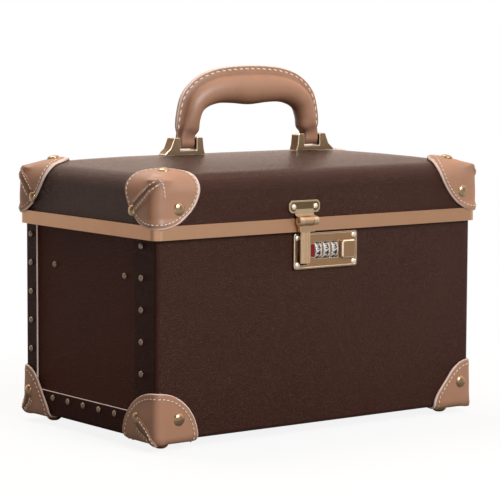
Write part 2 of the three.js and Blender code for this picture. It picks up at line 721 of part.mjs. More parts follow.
function haspPlateForm() {
  const back = lidFace - gap;
  const front = back - haspPlateThickness;
  const z = valanceTop + haspPlateRise + haspPlateHeight / 2;
  const plate = forwards(chamferedRect(haspPlateWidth / 2, haspPlateHeight / 2, 2.4, haspX, z), back,
    front, 0.3);
  const rim = 1.3;
  const recess = forwards(chamferedRect(haspPlateWidth / 2 - rim, haspPlateHeight / 2 - rim, 2, haspX, z),
    front + 0.5, front - 1);
  const neckY = (back + front) / 2;
  const neckLine = [
    [neckY, z - 2], [neckY, z - 6.2], [neckY - 1.7, haspAxisZ + haspBarrelRadius],
    [haspAxisY, haspAxisZ + haspBarrelRadius - 0.6],
  ];
  const half = haspBarrelLength / 2;
  const neck = alongX(sheetOutline(neckLine, 1.1), haspX - half, haspX + half);
  const tube = barrel(haspBarrelRadius, haspBarrelLength, haspX, haspAxisY, haspAxisZ);
  const armSpace = barrel(haspBarrelRadius + 0.4, haspKnuckle + 2 * gap, haspX, haspAxisY, haspAxisZ);
  const neckSpace = block(haspX - haspKnuckle / 2 - gap, haspX + haspKnuckle / 2 + gap,
    haspAxisY - 5, haspAxisY + 1, haspAxisZ, haspAxisZ + haspBarrelRadius + 2);
  const bore = barrel(smallPin + gap, haspBarrelLength + 2, haspX, haspAxisY, haspAxisZ, 16);
  return cut(joined(cut(plate, recess), neck, tube), armSpace, neckSpace, bore);
}
add(lid, 'hasp_plate', antiqueBrass, haspPlateForm());
add(lid, 'hasp_pin', antiqueBrass, barrel(smallPin, haspBarrelLength + 0.6, haspX, haspAxisY,
  haspAxisZ, 16));

// The arm: a knuckle, a broad shoulder, a half-round bar and the tongue that enters the lock.
function haspArmForm() {
  const front = haspBack - haspArmThickness;
  const shoulderTop = haspAxisZ - haspBarrelRadius - 0.4;
  const shoulderLow = shoulderTop - haspShoulderHeight;
  const knuckle = barrel(haspBarrelRadius, haspKnuckle, haspX, haspAxisY, haspAxisZ);
  const web = block(haspX - haspKnuckle / 2, haspX + haspKnuckle / 2, front + 0.8, haspBack - 1,
    shoulderTop - 1, haspAxisZ - 2);
  const shoulder = upright(roundedRect(haspShoulder / 2, haspArmThickness / 2, 0.8, haspX,
    (haspBack + front) / 2), shoulderLow, shoulderTop);
  const half = haspArmWidth / 2;
  const section = new THREE.Shape();
  section.moveTo(haspX - half, haspBack);
  section.lineTo(haspX - half, haspBack - 1.2);
  section.quadraticCurveTo(haspX - half * 0.6, haspBack - 1.6, haspX - half * 0.55, front + 1.5);
  section.quadraticCurveTo(haspX, front - 0.1, haspX + half * 0.55, front + 1.5);
  section.quadraticCurveTo(haspX + half * 0.6, haspBack - 1.6, haspX + half, haspBack - 1.2);
  section.lineTo(haspX + half, haspBack);
  const bar = upright(section, haspEnd, shoulderLow + 0.5);
  const tongue = block(haspX - haspTongueWidth / 2, haspX + haspTongueWidth / 2, haspBack - 1,
    tongueBack, tongueLow, tongueLow + haspTongueHeight);
  const bore = barrel(smallPin + gap, haspKnuckle + 2, haspX, haspAxisY, haspAxisZ, 16);
  return cut(joined(knuckle, web, shoulder, bar, tongue), bore);
}
add(hasp, 'hasp_arm', antiqueBrass, haspArmForm());

// ---- stop hinges ------------------------------------------------------------------------------
const hingeY = halfDepth + valanceOuter - 0.5;
const hingeZ = bodyTop - hingeBelowParting;

function hingeBodyLeaf() {
  const y = halfDepth + gap + hingeLeaf / 2;
  const line = [[y, hingeZ], [y, hingeZ - hingeBarrelRadius - hingeLeafLength]];
  const half = hingeWidth / 2;
  const leaf = alongX(sheetOutline(line, hingeLeaf), -half, half);
  const tube = barrel(hingeBarrelRadius, hingeWidth, 0, hingeY, hingeZ);
  const space = block(-hingeKnuckle / 2 - gap, hingeKnuckle / 2 + gap, halfDepth - 5, hingeY + 10,
    hingeZ - hingeBarrelRadius - 1.2, hingeZ + 10);
  return cut(joined(leaf, tube), space, barrel(smallPin + gap, hingeWidth + 2, 0, hingeY, hingeZ, 16));
}

// The lid leaf steps over the valance, and its heel meets the body leaf when the lid is open.
function hingeLidLeaf() {
  const low = halfDepth + valanceOuter + gap + hingeLeaf / 2;
  const high = halfDepth + lidOverhang + gap + hingeLeaf / 2;
  const line = [[low, hingeZ], [low, valanceTop + 0.6], [high, valanceTop + 2.2],
    [high, valanceTop + hingeLeafLength - 4]];
  const half = hingeWidth / 2;
  const leaf = alongX(sheetOutline(line, hingeLeaf), -half, half);
  const tube = barrel(hingeBarrelRadius, hingeKnuckle, 0, hingeY, hingeZ);
  const heel = new THREE.Shape();
  const heelReach = hingeBarrelRadius + 1.7;
  const start = hingeOpen - 122;
  heel.moveTo(0, 0);
  for (const turn of [start, start + 14, start + 28]) {
    heel.lineTo(heelReach * Math.cos(radians(turn)), heelReach * Math.sin(radians(turn)));
  }
  const heelForm = alongX(heel, -hingeKnuckle / 2, hingeKnuckle / 2).translate([0, hingeY, hingeZ]);
  const spaces = sides.map(([, side]) => {
    const inner = side * (hingeKnuckle / 2);
    const outer = side * (half + 1);
    return block(Math.min(inner, outer), Math.max(inner, outer), hingeY - 6, hingeY + 6,
      hingeZ - 6, hingeZ + hingeBarrelRadius + 0.8);
  });
  const bore = barrel(smallPin + gap, hingeWidth, 0, hingeY, hingeZ, 16);
  return cut(joined(leaf, tube, heelForm), ...spaces, bore);
}
const bodyLeafShape = hingeBodyLeaf();
const lidLeafShape = hingeLidLeaf();
for (const [name, side] of sides) {
  const x = side * (halfWidth - hingeInset);
  add(body, `hinge_body_leaf_${name}`, antiqueBrass, bodyLeafShape).position.x = x;
  add(body, `hinge_pin_${name}`, antiqueBrass,
    barrel(smallPin, hingeWidth + 0.8, 0, hingeY, hingeZ, 16)).position.x = x;
  add(lid, `hinge_lid_leaf_${name}`, antiqueBrass, lidLeafShape).position.x = x;
}

// ---- tray -------------------------------------------------------------------------------------
const trayBottom = bodyTop - railTop + gap;
const trayTop = trayBottom + trayHeight;
const trayBack = liningY - liningWall - trayClear;
const trayFront = caseBack + 2 * trayClear;
const trayMiddle = (trayBack + trayFront) / 2;
const trayHalfX = liningX - liningWall - trayClear;
const trayHalfY = (trayBack - trayFront) / 2;
const trayInnerX = trayHalfX - trayWall;
const trayInnerY = trayHalfY - trayWall;
const trayFloor = trayBottom + trayWall;

// The rails are riveted through the end panels, and the tray stands on them.
for (const [name, side] of sides) {
  const wallSide = liningX - liningWall - gap;
  const section = new THREE.Shape([
    [0, 0], [0, railHeight], [-railWidth, railHeight], [-railWidth, railHeight - 3],
    [-3, 0],
  ].map(([x, z]) => new THREE.Vector2(x, z)));
  const rail = forwards(section, railLength / 2, -railLength / 2);
  const mesh = add(body, `tray_rail_${name}`, suede, rail);
  mesh.scale.x = side;
  mesh.position.set(side * wallSide, 0, bodyTop - railTop - railHeight);
}

function trayBox() {
  const outer = upright(roundedRect(trayHalfX, trayHalfY, 3, 0, trayMiddle), trayBottom, trayTop);
  const inner = upright(roundedRect(trayInnerX, trayInnerY, 2, 0, trayMiddle), trayFloor, trayTop + 1);
  const notch = barrel(notchRadius, 2 * trayHalfX + 10, 0, trayMiddle, trayTop + notchRadius * 0.35);
  return cut(outer, inner, notch);
}
add(tray, 'tray', suede, trayBox());

const rollEdge = -trayInnerX + rollZone;
const dividerLow = trayFloor + gap;
const dividerHigh = dividerLow + dividerHeight;
const dividerHalf = 1.5;
const middleX = (rollEdge + trayInnerX) / 2;
add(tray, 'divider_roll', suede, block(rollEdge, rollEdge + 2 * dividerHalf,
  trayMiddle - trayInnerY + gap, trayMiddle + trayInnerY - gap, dividerLow, dividerHigh));
add(tray, 'divider_long', suede, block(rollEdge + 2 * dividerHalf + gap, trayInnerX - gap,
  trayMiddle - dividerHalf, trayMiddle + dividerHalf, dividerLow, dividerHigh));
for (const [name, side] of [['front', -1], ['rear', 1]]) {
  const near = trayMiddle + side * (dividerHalf + gap);
  const far = trayMiddle + side * (trayInnerY - gap);
  add(tray, `divider_cross_${name}`, suede, block(middleX - dividerHalf, middleX + dividerHalf,
    Math.min(near, far), Math.max(near, far), dividerLow, dividerHigh));
}

// Padded rolls lie side by side, and rings are pushed down between them.
const rollPitch = (rollZone - gap) / rollCount;
const rollRadius = rollPitch / 2 - gap / 2;
const rollLength = 2 * (trayInnerY - gap);
for (let i = 0; i < rollCount; i++) {
  const roll = new THREE.CapsuleGeometry(rollRadius, rollLength - 2 * rollRadius, 3, 14);
  const mesh = add(tray, `ring_roll_${i + 1}`, velvet, solid(roll));
  mesh.position.set(-trayInnerX + gap + rollPitch * (i + 0.5) - gap / 2, trayMiddle,
    trayFloor + gap + rollRadius);
}

// The frame's origin is under the middle of the whole case, hasp and hinges included.
const middle = new THREE.Box3().setFromObject(jewelleryCase).getCenter(new THREE.Vector3());
for (const group of jewelleryCase.children) group.position.y = -middle.y;

export default jewelleryCase;
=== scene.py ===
import json
import math

import bmesh
import bpy
from mathutils import Matrix, Vector


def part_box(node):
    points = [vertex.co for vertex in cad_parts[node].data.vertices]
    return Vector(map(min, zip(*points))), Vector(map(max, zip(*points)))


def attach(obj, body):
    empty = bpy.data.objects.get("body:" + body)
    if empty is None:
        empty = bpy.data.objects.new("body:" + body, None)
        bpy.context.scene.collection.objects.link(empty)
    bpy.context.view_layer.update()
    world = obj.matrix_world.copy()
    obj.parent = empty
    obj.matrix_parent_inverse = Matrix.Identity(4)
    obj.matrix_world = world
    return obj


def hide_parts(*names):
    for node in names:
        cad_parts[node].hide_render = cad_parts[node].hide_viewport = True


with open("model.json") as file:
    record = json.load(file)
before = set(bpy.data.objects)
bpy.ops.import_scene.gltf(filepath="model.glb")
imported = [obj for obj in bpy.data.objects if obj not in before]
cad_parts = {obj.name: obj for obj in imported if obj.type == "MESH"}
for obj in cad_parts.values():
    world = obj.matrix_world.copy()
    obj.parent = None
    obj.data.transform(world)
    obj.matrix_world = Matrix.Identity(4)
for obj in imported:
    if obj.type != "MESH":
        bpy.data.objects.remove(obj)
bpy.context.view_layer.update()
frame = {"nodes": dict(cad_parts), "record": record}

nodes = frame["nodes"]
mm = 0.001


cameraSpot = {"place": (-1.1549, -1.5289, 0.3365), "heading": 37.04, "dip": 5.86, "roll": 0.25, "lens": 166.6,
              "sensor": 36}
studio = {
    # the soft fill all round, the room seen in metal, the two lamps, and the paper below; places in metres
    "fillLow": 0.02, "fillHigh": 0.47, "fillSide": (0.60, -0.45, 0.66), "fillWrap": 0.28,
    "fillTint": (1.3, 0.85, 0.48), "roomDim": 0.14, "roomTint": (1.0, 0.79, 0.68), "aim": (0.0, 0.0, 0.12),
    "keyPlace": (0.0, -1.6, 1.1), "keySize": 0.85, "keyWatts": 29, "keyTint": (0.93, 1.03, 1.14),
    "topPlace": (-0.2, 0.9, 2.1), "topSize": 1.2, "topWatts": 32, "topTint": (1.0, 0.96, 0.92),
    "floorSize": 16.0, "floorColour": (0.86, 0.855, 0.85), "floorBlotch": 0.985, "floorBounce": 0.4,
    "shadowReach": (0.20, 0.50), "paperGlow": 0.88,
}
roomPanels = {
    # what shines in metal: which way it lies, where it starts to show and where it is full, how bright
    "backdrop": ((0.58, 0.75, 0.32), -0.12, 0.63, 1.11), "window": ((-0.82, -0.56, -0.08), 0.8, 0.95, 0.9),
    "front": ((0.6, -0.78, -0.15), 0.3, 0.85, 0.3), "ceiling": ((0.35, -0.15, 0.92), 0.55, 0.9, 0.68),
}


def placeCamera():
    # level on the horizon first, then tipped by its roll
    data = bpy.data.cameras.new("camera")
    data.lens = cameraSpot["lens"]
    data.sensor_width = cameraSpot["sensor"]
    camera = bpy.data.objects.new("camera", data)
    bpy.context.scene.collection.objects.link(camera)
    heading, dip, roll = (math.radians(cameraSpot[key]) for key in ("heading", "dip", "roll"))
    forward = Vector((math.sin(heading) * math.cos(dip), math.cos(heading) * math.cos(dip), -math.sin(dip)))
    level = Vector((math.cos(heading), -math.sin(heading), 0))
    upright = level.cross(forward)
    right = level * math.cos(roll) + upright * math.sin(roll)
    above = upright * math.cos(roll) - level * math.sin(roll)
    camera.matrix_world = Matrix((right, above, -forward)).transposed().to_4x4()
    camera.location = cameraSpot["place"]
    bpy.context.scene.camera = camera


def addLamp(name, place, size, watts, tint):
    data = bpy.data.lights.new(name, "AREA")
    data.shape = "SQUARE"
    data.color = tint
    data.size = size
    data.energy = watts
    lamp = bpy.data.objects.new(name, data)
    lamp.location = place
    lamp.rotation_euler = (Vector(studio["aim"]) - Vector(place)).to_track_quat("-Z", "Y").to_euler()
    bpy.context.scene.collection.objects.link(lamp)


class Wire:
    # one output of a node; arithmetic on it adds Math nodes
    def __init__(self, finish, socket):
        self.finish = finish
        self.socket = socket

    def maths(self, operation, *values, clamp=False):
        settings = {"operation": operation, "use_clamp": clamp}
        return self.finish.add("ShaderNodeMath", settings, dict(enumerate(values)))

    def __add__(self, other):
        return self.maths("ADD", self, other)

    def __sub__(self, other):
        return self.maths("SUBTRACT", self, other)

    def __rsub__(self, other):
        return self.maths("SUBTRACT", other, self)

    def __mul__(self, other):
        return self.maths("MULTIPLY", self, other)

    def __truediv__(self, other):
        return self.maths("DIVIDE", self, other)

    def held(self):
        return self.maths("ADD", self, 0, clamp=True)

    def eased(self):
        share = self.held()
        return share * share * (3 - 2 * share)

    __radd__ = __add__
    __rmul__ = __mul__


class Finish:
    # nodes of one material, or of the world
    def __init__(self, owner, **fixed):
        self.material = bpy.data.materials.new(owner) if isinstance(owner, str) else owner
        self.material.use_nodes = True
        self.tree = self.material.node_tree
        self.shader = self.tree.nodes.get("Principled BSDF")
        for socket, value in fixed.items():
            self.shader.inputs[socket.replace("_", " ")].default_value = value

    def add(self, kind, settings, sockets, output=0):
        node = self.tree.nodes.new(kind)
        for key, value in settings.items():
            if key == "stops":
                self.placeStops(node.color_ramp, value)
            else:
                setattr(node, key, value)
        for key, value in sockets.items():
            if isinstance(value, Wire):
                self.tree.links.new(value.socket, node.inputs[key])
            else:
                node.inputs[key].default_value = value
        return Wire(self, node.outputs[output])

    def placeStops(self, ramp, stops):
        while len(ramp.elements) < len(stops):
            ramp.elements.new(0.5)
        for element, (position, shade) in zip(ramp.elements, stops):
            element.position = position
            element.color = (shade, shade, shade, 1) if isinstance(shade, (int, float)) else (*shade, 1)

    def feed(self, socket, wire):
        self.tree.links.new(wire.socket, self.shader.inputs[socket])

    def spot(self, stretch=(1, 1, 1)):
        place = self.add("ShaderNodeTexCoord", {}, {}, "Object")
        return self.add("ShaderNodeMapping", {}, {"Vector": place, "Scale": stretch})

    def noise(self, spot, scale, detail=3.0, rough=0.5, output=0):
        return self.add("ShaderNodeTexNoise", {},
                        {"Vector": spot, "Scale": scale, "Detail": detail, "Roughness": rough}, output)

    def cells(self, spot, scale, feature="DISTANCE_TO_EDGE"):
        return self.add("ShaderNodeTexVoronoi", {"feature": feature}, {"Vector": spot, "Scale": scale})

    def shift(self, spot, amount, by):
        scaled = self.add("ShaderNodeVectorMath", {"operation": "SCALE"}, {0: by, "Scale": amount})
        return self.add("ShaderNodeVectorMath", {"operation": "ADD"}, {0: spot, 1: scaled})

    def ramp(self, value, *stops):
        return self.add("ShaderNodeValToRGB", {"stops": stops}, {"Fac": value})

    def colours(self, factor, first, second):
        ends = {slot: end if isinstance(end, Wire) else (*end, 1) for slot, end in ((6, first), (7, second))}
        return self.add("ShaderNodeMix", {"data_type": "RGBA"}, {0: factor, **ends}, 2)

    def dot(self, way, side):
        return self.add("ShaderNodeVectorMath", {"operation": "DOT_PRODUCT"}, {0: way, 1: side}, "Value")

    def rays(self):
        # 1 where the camera sees the surface itself, and 1 where it is seen in metal or through glass
        camera, gloss, through = (self.add("ShaderNodeLightPath", {}, {}, kind)
                                  for kind in ("Is Camera Ray", "Is Glossy Ray", "Is Transmission Ray"))
        return camera, (gloss + through).held()

    def roomLight(self, way):
        # a dim room with a white backdrop, a window on the left and a pale ceiling
        light = studio["roomDim"]
        for side, start, full, bright in roomPanels.values():
            light = light + ((self.dot(way, side) - start) / (full - start)).eased() * bright
        return light

    def mark(self, name):
        return self.add("ShaderNodeAttribute", {"attribute_name": name}, {}, "Fac")

    def bumps(self, height, depth):
        return self.add("ShaderNodeBump", {}, {"Height": height, "Distance": depth * mm, "Strength": 1.0})


def lightWorld():
    # white behind the case, the room in its metal, and a soft fill on everything else
    world = bpy.data.worlds.new("studio")
    bpy.context.scene.world = world
    sky = Finish(world)
    camera, mirrored = sky.rays()
    way = sky.add("ShaderNodeTexCoord", {}, {}, "Generated")
    wrap = studio["fillWrap"]
    side = (sky.dot(way, studio["fillSide"]) * (1 - wrap) + wrap).held()
    fill = studio["fillLow"] + side * (studio["fillHigh"] - studio["fillLow"])
    unseen = mirrored * sky.roomLight(way) + (1 - mirrored) * fill
    level = camera + (1 - camera) * unseen
    tint = sky.colours(camera, sky.colours(mirrored, studio["fillTint"], studio["roomTint"]), (1, 1, 1))
    backdrop = sky.tree.nodes["Background"]
    sky.tree.links.new(level.socket, backdrop.inputs["Strength"])
    sky.tree.links.new(tint.socket, backdrop.inputs["Color"])


def layFloor():
    # paper that keeps the case's shadow and turns plain white further out
    bm = bmesh.new()
    bmesh.ops.create_grid(bm, x_segments=8, y_segments=8, size=studio["floorSize"] / 2)
    paper = Finish("floorPaper", Roughness=0.9, Specular_IOR_Level=0.1)
    spot = paper.spot()
    pale = studio["floorColour"]
    blotch, bounced = ([channel * studio[key] for channel in pale] for key in ("floorBlotch", "floorBounce"))
    tone = paper.colours(paper.noise(spot, 1.5), pale, blotch)
    camera, mirrored = paper.rays()
    paper.feed("Base Color", paper.colours(camera, bounced, tone))
    near, far = studio["shadowReach"]
    away = paper.add("ShaderNodeVectorMath", {"operation": "LENGTH"}, {0: spot}, "Value")
    faded = ((away - near) / (far - near)).eased()
    way = paper.add("ShaderNodeVectorMath", {"operation": "NORMALIZE"}, {0: spot})
    seen = studio["paperGlow"] + faded * (1 - studio["paperGlow"])
    share = camera * seen + mirrored * paper.roomLight(way).held() * faded
    lit = Wire(paper, paper.shader.outputs["BSDF"])
    white = paper.add("ShaderNodeEmission", {}, {"Color": (1, 1, 1, 1), "Strength": 1.0})
    mixed = paper.add("ShaderNodeMixShader", {}, {0: share, 1: lit, 2: white})
    paper.tree.links.new(mixed.socket, paper.tree.nodes["Material Output"].inputs["Surface"])
    keepPiece(bm, "floor", paper.material)


def keepPiece(bm, name, *materials, smooth=False, tidy=False):
    # a mesh becomes a piece of the scene; tidy joins spots that meet and turns every face outwards
    if tidy:
        bmesh.ops.remove_doubles(bm, verts=bm.verts, dist=0.005 * mm)
        bmesh.ops.recalc_face_normals(bm, faces=bm.faces)
    for face in bm.faces:
        face.smooth = smooth
    mesh = bpy.data.meshes.new(name)
    bm.to_mesh(mesh)
    bm.free()
    for material in materials:
        mesh.materials.append(material)
    piece = bpy.data.objects.new(name, mesh)
    bpy.context.scene.collection.objects.link(piece)
    return piece


placeCamera()
lightWorld()
layFloor()
for lamp in ("key", "top"):
    addLamp(lamp + "Lamp", *(studio[lamp + item] for item in ("Place", "Size", "Watts", "Tint")))
bpy.context.scene.view_settings.view_transform = "Standard"
print("camera, lamps and floor in place")


def grainedBoard(name="grainedBoard", sheen=0.16, shade=(1, 1, 1)):
    look = {"colour": (0.052, 0.0176, 0.0114), "crease": (0.022, 0.007, 0.0047), "grain": 820, "depth": 0.2,
            "wander": 500, "stray": 0.0007, "fine": 2600, "cloud": 14, "rough": 0.27}
    finish = Finish(name, Roughness=0.4, Specular_IOR_Level=sheen, Specular_Tint=(1, 0.75, 0.64, 1))
    spot = finish.spot()
    wander = finish.noise(spot, look["wander"], 2, output="Color")
    bent = finish.shift(spot, look["stray"], wander)
    pebbles = finish.ramp(finish.cells(bent, look["grain"]), (0.0, 0.0), (0.22, 0.75), (0.6, 1.0))
    fine = finish.noise(spot, look["fine"], 2)
    cloud = finish.noise(spot, look["cloud"], 3)
    crease, colour = ([tone * share for tone, share in zip(look[key], shade)] for key in ("crease", "colour"))
    skin = finish.colours((pebbles * 0.75 + cloud * 0.35).held(), crease, colour)
    finish.feed("Base Color", skin)
    finish.feed("Roughness", look["rough"] - pebbles * 0.08 + cloud * 0.05)
    finish.feed("Normal", finish.bumps(pebbles + fine * 0.35, look["depth"]))
    return finish.material


def tanHide(name="tanHide", colour=(0.346, 0.171, 0.097), worn=(0.075, 0.027, 0.013)):
    look = {"pores": 1500, "wrinkle": 260, "pull": (1, 1, 2.5), "cloud": 38, "depth": 0.05, "rough": 0.42}
    finish = Finish(name, Roughness=0.48, Specular_IOR_Level=0.8, Specular_Tint=(1, 0.96, 0.93, 1))
    spot = finish.spot()
    pores = finish.ramp(finish.cells(spot, look["pores"], "F1"), (0.1, 0.0), (0.5, 1.0))
    wrinkle = finish.noise(finish.spot(look["pull"]), look["wrinkle"], 4, 0.6)
    cloud = finish.noise(spot, look["cloud"], 4, 0.6)
    # the mark darkens the hide: painted shade in the seams, in the dart's cleft and round the handle, and
    # darker along the cut edges; the cloud adds a random mottle towards the same dark colour
    fold = finish.mark("fold").held()
    tone = (fold * 0.85 + (cloud - 0.5) * 0.7 + (1 - pores) * 0.06).held()
    finish.feed("Base Color", finish.colours(tone, colour, worn))
    finish.feed("Roughness", look["rough"] + cloud * 0.12 + fold * 0.15)
    finish.feed("Normal", finish.bumps(pores * 0.35 + wrinkle, look["depth"]))
    return finish.material


def cutHide(name="cutHide", colour=(0.82, 0.68, 0.61), dark=(0.60, 0.44, 0.36), paintedGlow=0.0):
    look = {"fibre": 1800, "depth": 0.12}
    # a cut edge may glow a little of its own: painted light
    finish = Finish(name, Roughness=0.8, Emission_Strength=paintedGlow)
    spot = finish.spot()
    fibre = finish.noise(spot, look["fibre"], 4, 0.7)
    tone = finish.colours(fibre, colour, dark)
    finish.feed("Base Color", tone)
    finish.feed("Emission Color", tone)
    finish.feed("Normal", finish.bumps(fibre, look["depth"]))
    return finish.material


def agedBrass(name="agedBrass", colour=(0.43, 0.31, 0.185), dark=(0.12, 0.072, 0.036), rough=0.24):
    look = {"streaks": 2400, "drawn": (1, 1, 0.06), "blot": 170, "depth": 0.012}
    finish = Finish(name, Metallic=1.0, Roughness=rough)
    spot = finish.spot()
    streaks = finish.noise(finish.spot(look["drawn"]), look["streaks"], 3)
    blot = finish.noise(spot, look["blot"], 5, 0.65)
    tarnish = finish.ramp(blot, (0.42, 0.0), (0.66, 0.55), (0.8, 1.0))
    # the leather's painted-shade mark would darken the brass too where a piece carries it
    fold = finish.mark("fold").held()
    tone = (tarnish * 0.35 + streaks * 0.10 + fold).held()
    finish.feed("Base Color", finish.colours(tone, colour, dark))
    finish.feed("Roughness", rough + tarnish * 0.16 + fold * 0.2 + streaks * 0.04)
    finish.feed("Normal", finish.bumps(streaks * 0.4 + blot, look["depth"]))
    return finish.material


def copperStrip(name="copperStrip", colour=(0.63, 0.38, 0.235), dark=(0.47, 0.27, 0.155)):
    look = {"lines": 3600, "drawn": (0.03, 0.03, 1), "blot": 60, "depth": 0.008, "rough": 0.32}
    finish = Finish(name, Metallic=1.0, Roughness=0.36)
    along = finish.noise(finish.spot(look["drawn"]), look["lines"], 3)
    blot = finish.noise(finish.spot(), look["blot"], 4, 0.6)
    tone = (along * 0.35 + blot * 0.5).held()
    finish.feed("Base Color", finish.colours(tone, colour, dark))
    finish.feed("Roughness", look["rough"] + along * 0.08 + blot * 0.08)
    finish.feed("Normal", finish.bumps(along, look["depth"]))
    return finish.material


def suede(name, colour, dark):
    look = {"nap": 1300, "brushed": 34, "depth": 0.16}
    finish = Finish(name, Roughness=0.95, Sheen_Weight=0.35, Sheen_Roughness=0.45)
    spot = finish.spot()
    nap = finish.noise(spot, look["nap"], 4, 0.7)
    brushed = finish.noise(spot, look["brushed"], 4, 0.6)
    finish.feed("Base Color", finish.colours((nap * 0.45 + brushed * 0.75 - 0.1).held(), colour, dark))
    finish.feed("Normal", finish.bumps(nap, look["depth"]))
    return finish.material


def brightSteel():
    look = {"lines": 2600, "drawn": (0.05, 1, 1), "depth": 0.006, "rough": 0.26}
    finish = Finish("brightSteel", Metallic=1.0, Roughness=0.32)
    lines = finish.noise(finish.spot(look["drawn"]), look["lines"], 3)
    finish.feed("Base Color", finish.colours(lines, (0.58, 0.58, 0.57), (0.42, 0.42, 0.41)))
    finish.feed("Roughness", look["rough"] + lines * 0.14)
    finish.feed("Normal", finish.bumps(lines, look["depth"]))
    return finish.material


def silveredDial():
    look = {"lines": 3000, "turned": (1, 0.2, 0.2), "blot": 300, "rough": 0.42}
    finish = Finish("silveredDial", Metallic=0.25, Roughness=0.5)
    turned = finish.noise(finish.spot(look["turned"]), look["lines"], 2)
    blot = finish.noise(finish.spot(), look["blot"], 3)
    tone = (turned * 0.4 + blot * 0.3).held()
    finish.feed("Base Color", finish.colours(tone, (0.66, 0.62, 0.57), (0.46, 0.42, 0.38)))
    finish.feed("Roughness", look["rough"] + turned * 0.12)
    return finish.material


def mirrorGlass():
    finish = Finish("mirrorGlass", Metallic=1.0, Roughness=0.015)
    haze = finish.noise(finish.spot(), 22, 3)
    finish.feed("Base Color", finish.colours(haze, (0.88, 0.90, 0.90), (0.84, 0.87, 0.875)))
    return finish.material


def redEnamel():
    finish = Finish("redEnamel", Roughness=0.4, Specular_IOR_Level=0.25)
    blot = finish.noise(finish.spot(), 700, 3)
    finish.feed("Base Color", finish.colours(blot, (0.24, 0.005, 0.010), (0.15, 0.003, 0.006)))
    return finish.material


def waxedThread():
    look = {"strand": 2600, "soil": 90, "depth": 0.1}
    finish = Finish("waxedThread", Roughness=0.6)
    spot = finish.spot()
    strand = finish.noise(spot, look["strand"], 2)
    soil = finish.noise(spot, look["soil"], 3)
    tone = (strand * 0.5 + soil * 0.4).held()
    finish.feed("Base Color", finish.colours(tone, (0.86, 0.76, 0.62), (0.62, 0.47, 0.34)))
    finish.feed("Normal", finish.bumps(strand, look["depth"]))
    return finish.material


def blackInk():
    finish = Finish("blackInk", Roughness=0.5)
    blot = finish.noise(finish.spot(), 900, 2)
    finish.feed("Base Color", finish.colours(blot, (0.012, 0.010, 0.010), (0.03, 0.026, 0.024)))
    return finish.material


board = grainedBoard()
# copies of the board for the ends of the case, with most of its sheen taken away: the end panels painted
# lighter, as painted light on the ends, and the end-facing flanges a little darker and warmer, as painted
# shade
endBoard = grainedBoard("endBoard", 0.03, (1.85, 1.65, 1.6))
foldedBoard = grainedBoard("foldedBoard", 0.03, (1.0, 0.95, 0.85))
hide = tanHide()
rawEdge = cutHide()
brass = agedBrass()
# a far paler brass for eased arrises, screws and rivets: painted highlight, with brass worn bright
brassRim = agedBrass("brassRim", (0.98, 0.88, 0.72), (0.55, 0.43, 0.29), 0.36)
tackBrass = agedBrass("tackBrass", (0.30, 0.225, 0.175), (0.11, 0.075, 0.055), 0.42)
# the feet's bronze is far paler than the brass: painted light on feet that stand in the case's shadow
footBronze = agedBrass("footBronze", (0.80, 0.55, 0.30), (0.40, 0.25, 0.13), 0.52)
# dark brass: the hasp plate's sunk field, and painted shade on the handle brackets' side faces
brassField = agedBrass("brassField", (0.20, 0.135, 0.072), (0.085, 0.05, 0.026), 0.34)
lockGold = agedBrass("lockGold", (0.42, 0.262, 0.145), (0.22, 0.135, 0.068), 0.33)
haspBrass = agedBrass("haspBrass", (0.60, 0.48, 0.33), (0.32, 0.24, 0.15), 0.34)
armGold = agedBrass("armGold", (0.56, 0.375, 0.225), (0.32, 0.205, 0.115), 0.33)
copper = copperStrip()
# a paler copper for the metal edge's eased arrises: painted highlight
copperRim = copperStrip("copperRim", (0.86, 0.65, 0.50), (0.62, 0.42, 0.29))
liningSuede = suede("liningSuede", (0.36, 0.235, 0.165), (0.24, 0.145, 0.10))
rollVelvet = suede("rollVelvet", (0.45, 0.285, 0.20), (0.30, 0.18, 0.12))
steel = brightSteel()
silver = silveredDial()
glass = mirrorGlass()
red = redEnamel()
thread = waxedThread()
ink = blackInk()

slotFinish = {
    "leatherette": board, "corner_leather": hide, "handle_leather": hide, "frame_leather": hide,
    "antique_brass": brass, "copper_trim": copper, "suede_lining": liningSuede, "roll_velvet": rollVelvet,
    "bright_steel": steel, "silvered_dial": silver, "mirror_glass": glass, "red_enamel": red,
}
slotOf = {part["node"]: part["material_slot"] for part in frame["record"]["subparts"]}
for name, slot in slotOf.items():
    mesh = nodes[name].data
    mesh.materials.clear()
    # the end panels take the board's painted-light copy
    mesh.materials.append(endBoard if "end_panel" in name else slotFinish[slot])
print("finishes mixed")


def ease(value):
    value = min(max(value, 0.0), 1.0)
    return value * value * (3 - 2 * value)


def freshGrid(columns, rows, place, closed=False, worn=None, paint=None):
    # a grid whose corners run from 0 to 1 each way, laid where place(u, v) says, in mm
    bm = bmesh.new()
    bmesh.ops.create_grid(bm, x_segments=columns, y_segments=rows, size=0.5)
    fold = bm.verts.layers.float.new("fold")
    if paint:
        for face in bm.faces:
            middle = face.calc_center_median()
            face.material_index = paint(middle.x + 0.5, middle.y + 0.5)
    for vert in bm.verts:
        u, v = vert.co.x + 0.5, vert.co.y + 0.5
        # the mark laid at each spot is painted shade
        vert[fold] = worn(u, v) if worn else 0.0
        vert.co = Vector(place(u, v)) * mm
    if closed:
        bmesh.ops.remove_doubles(bm, verts=bm.verts, dist=0.002 * mm)
    return bm


def closeEnds(bm):
    edges = [edge for edge in bm.edges if edge.is_boundary]
    bmesh.ops.holes_fill(bm, edges=edges, sides=0)


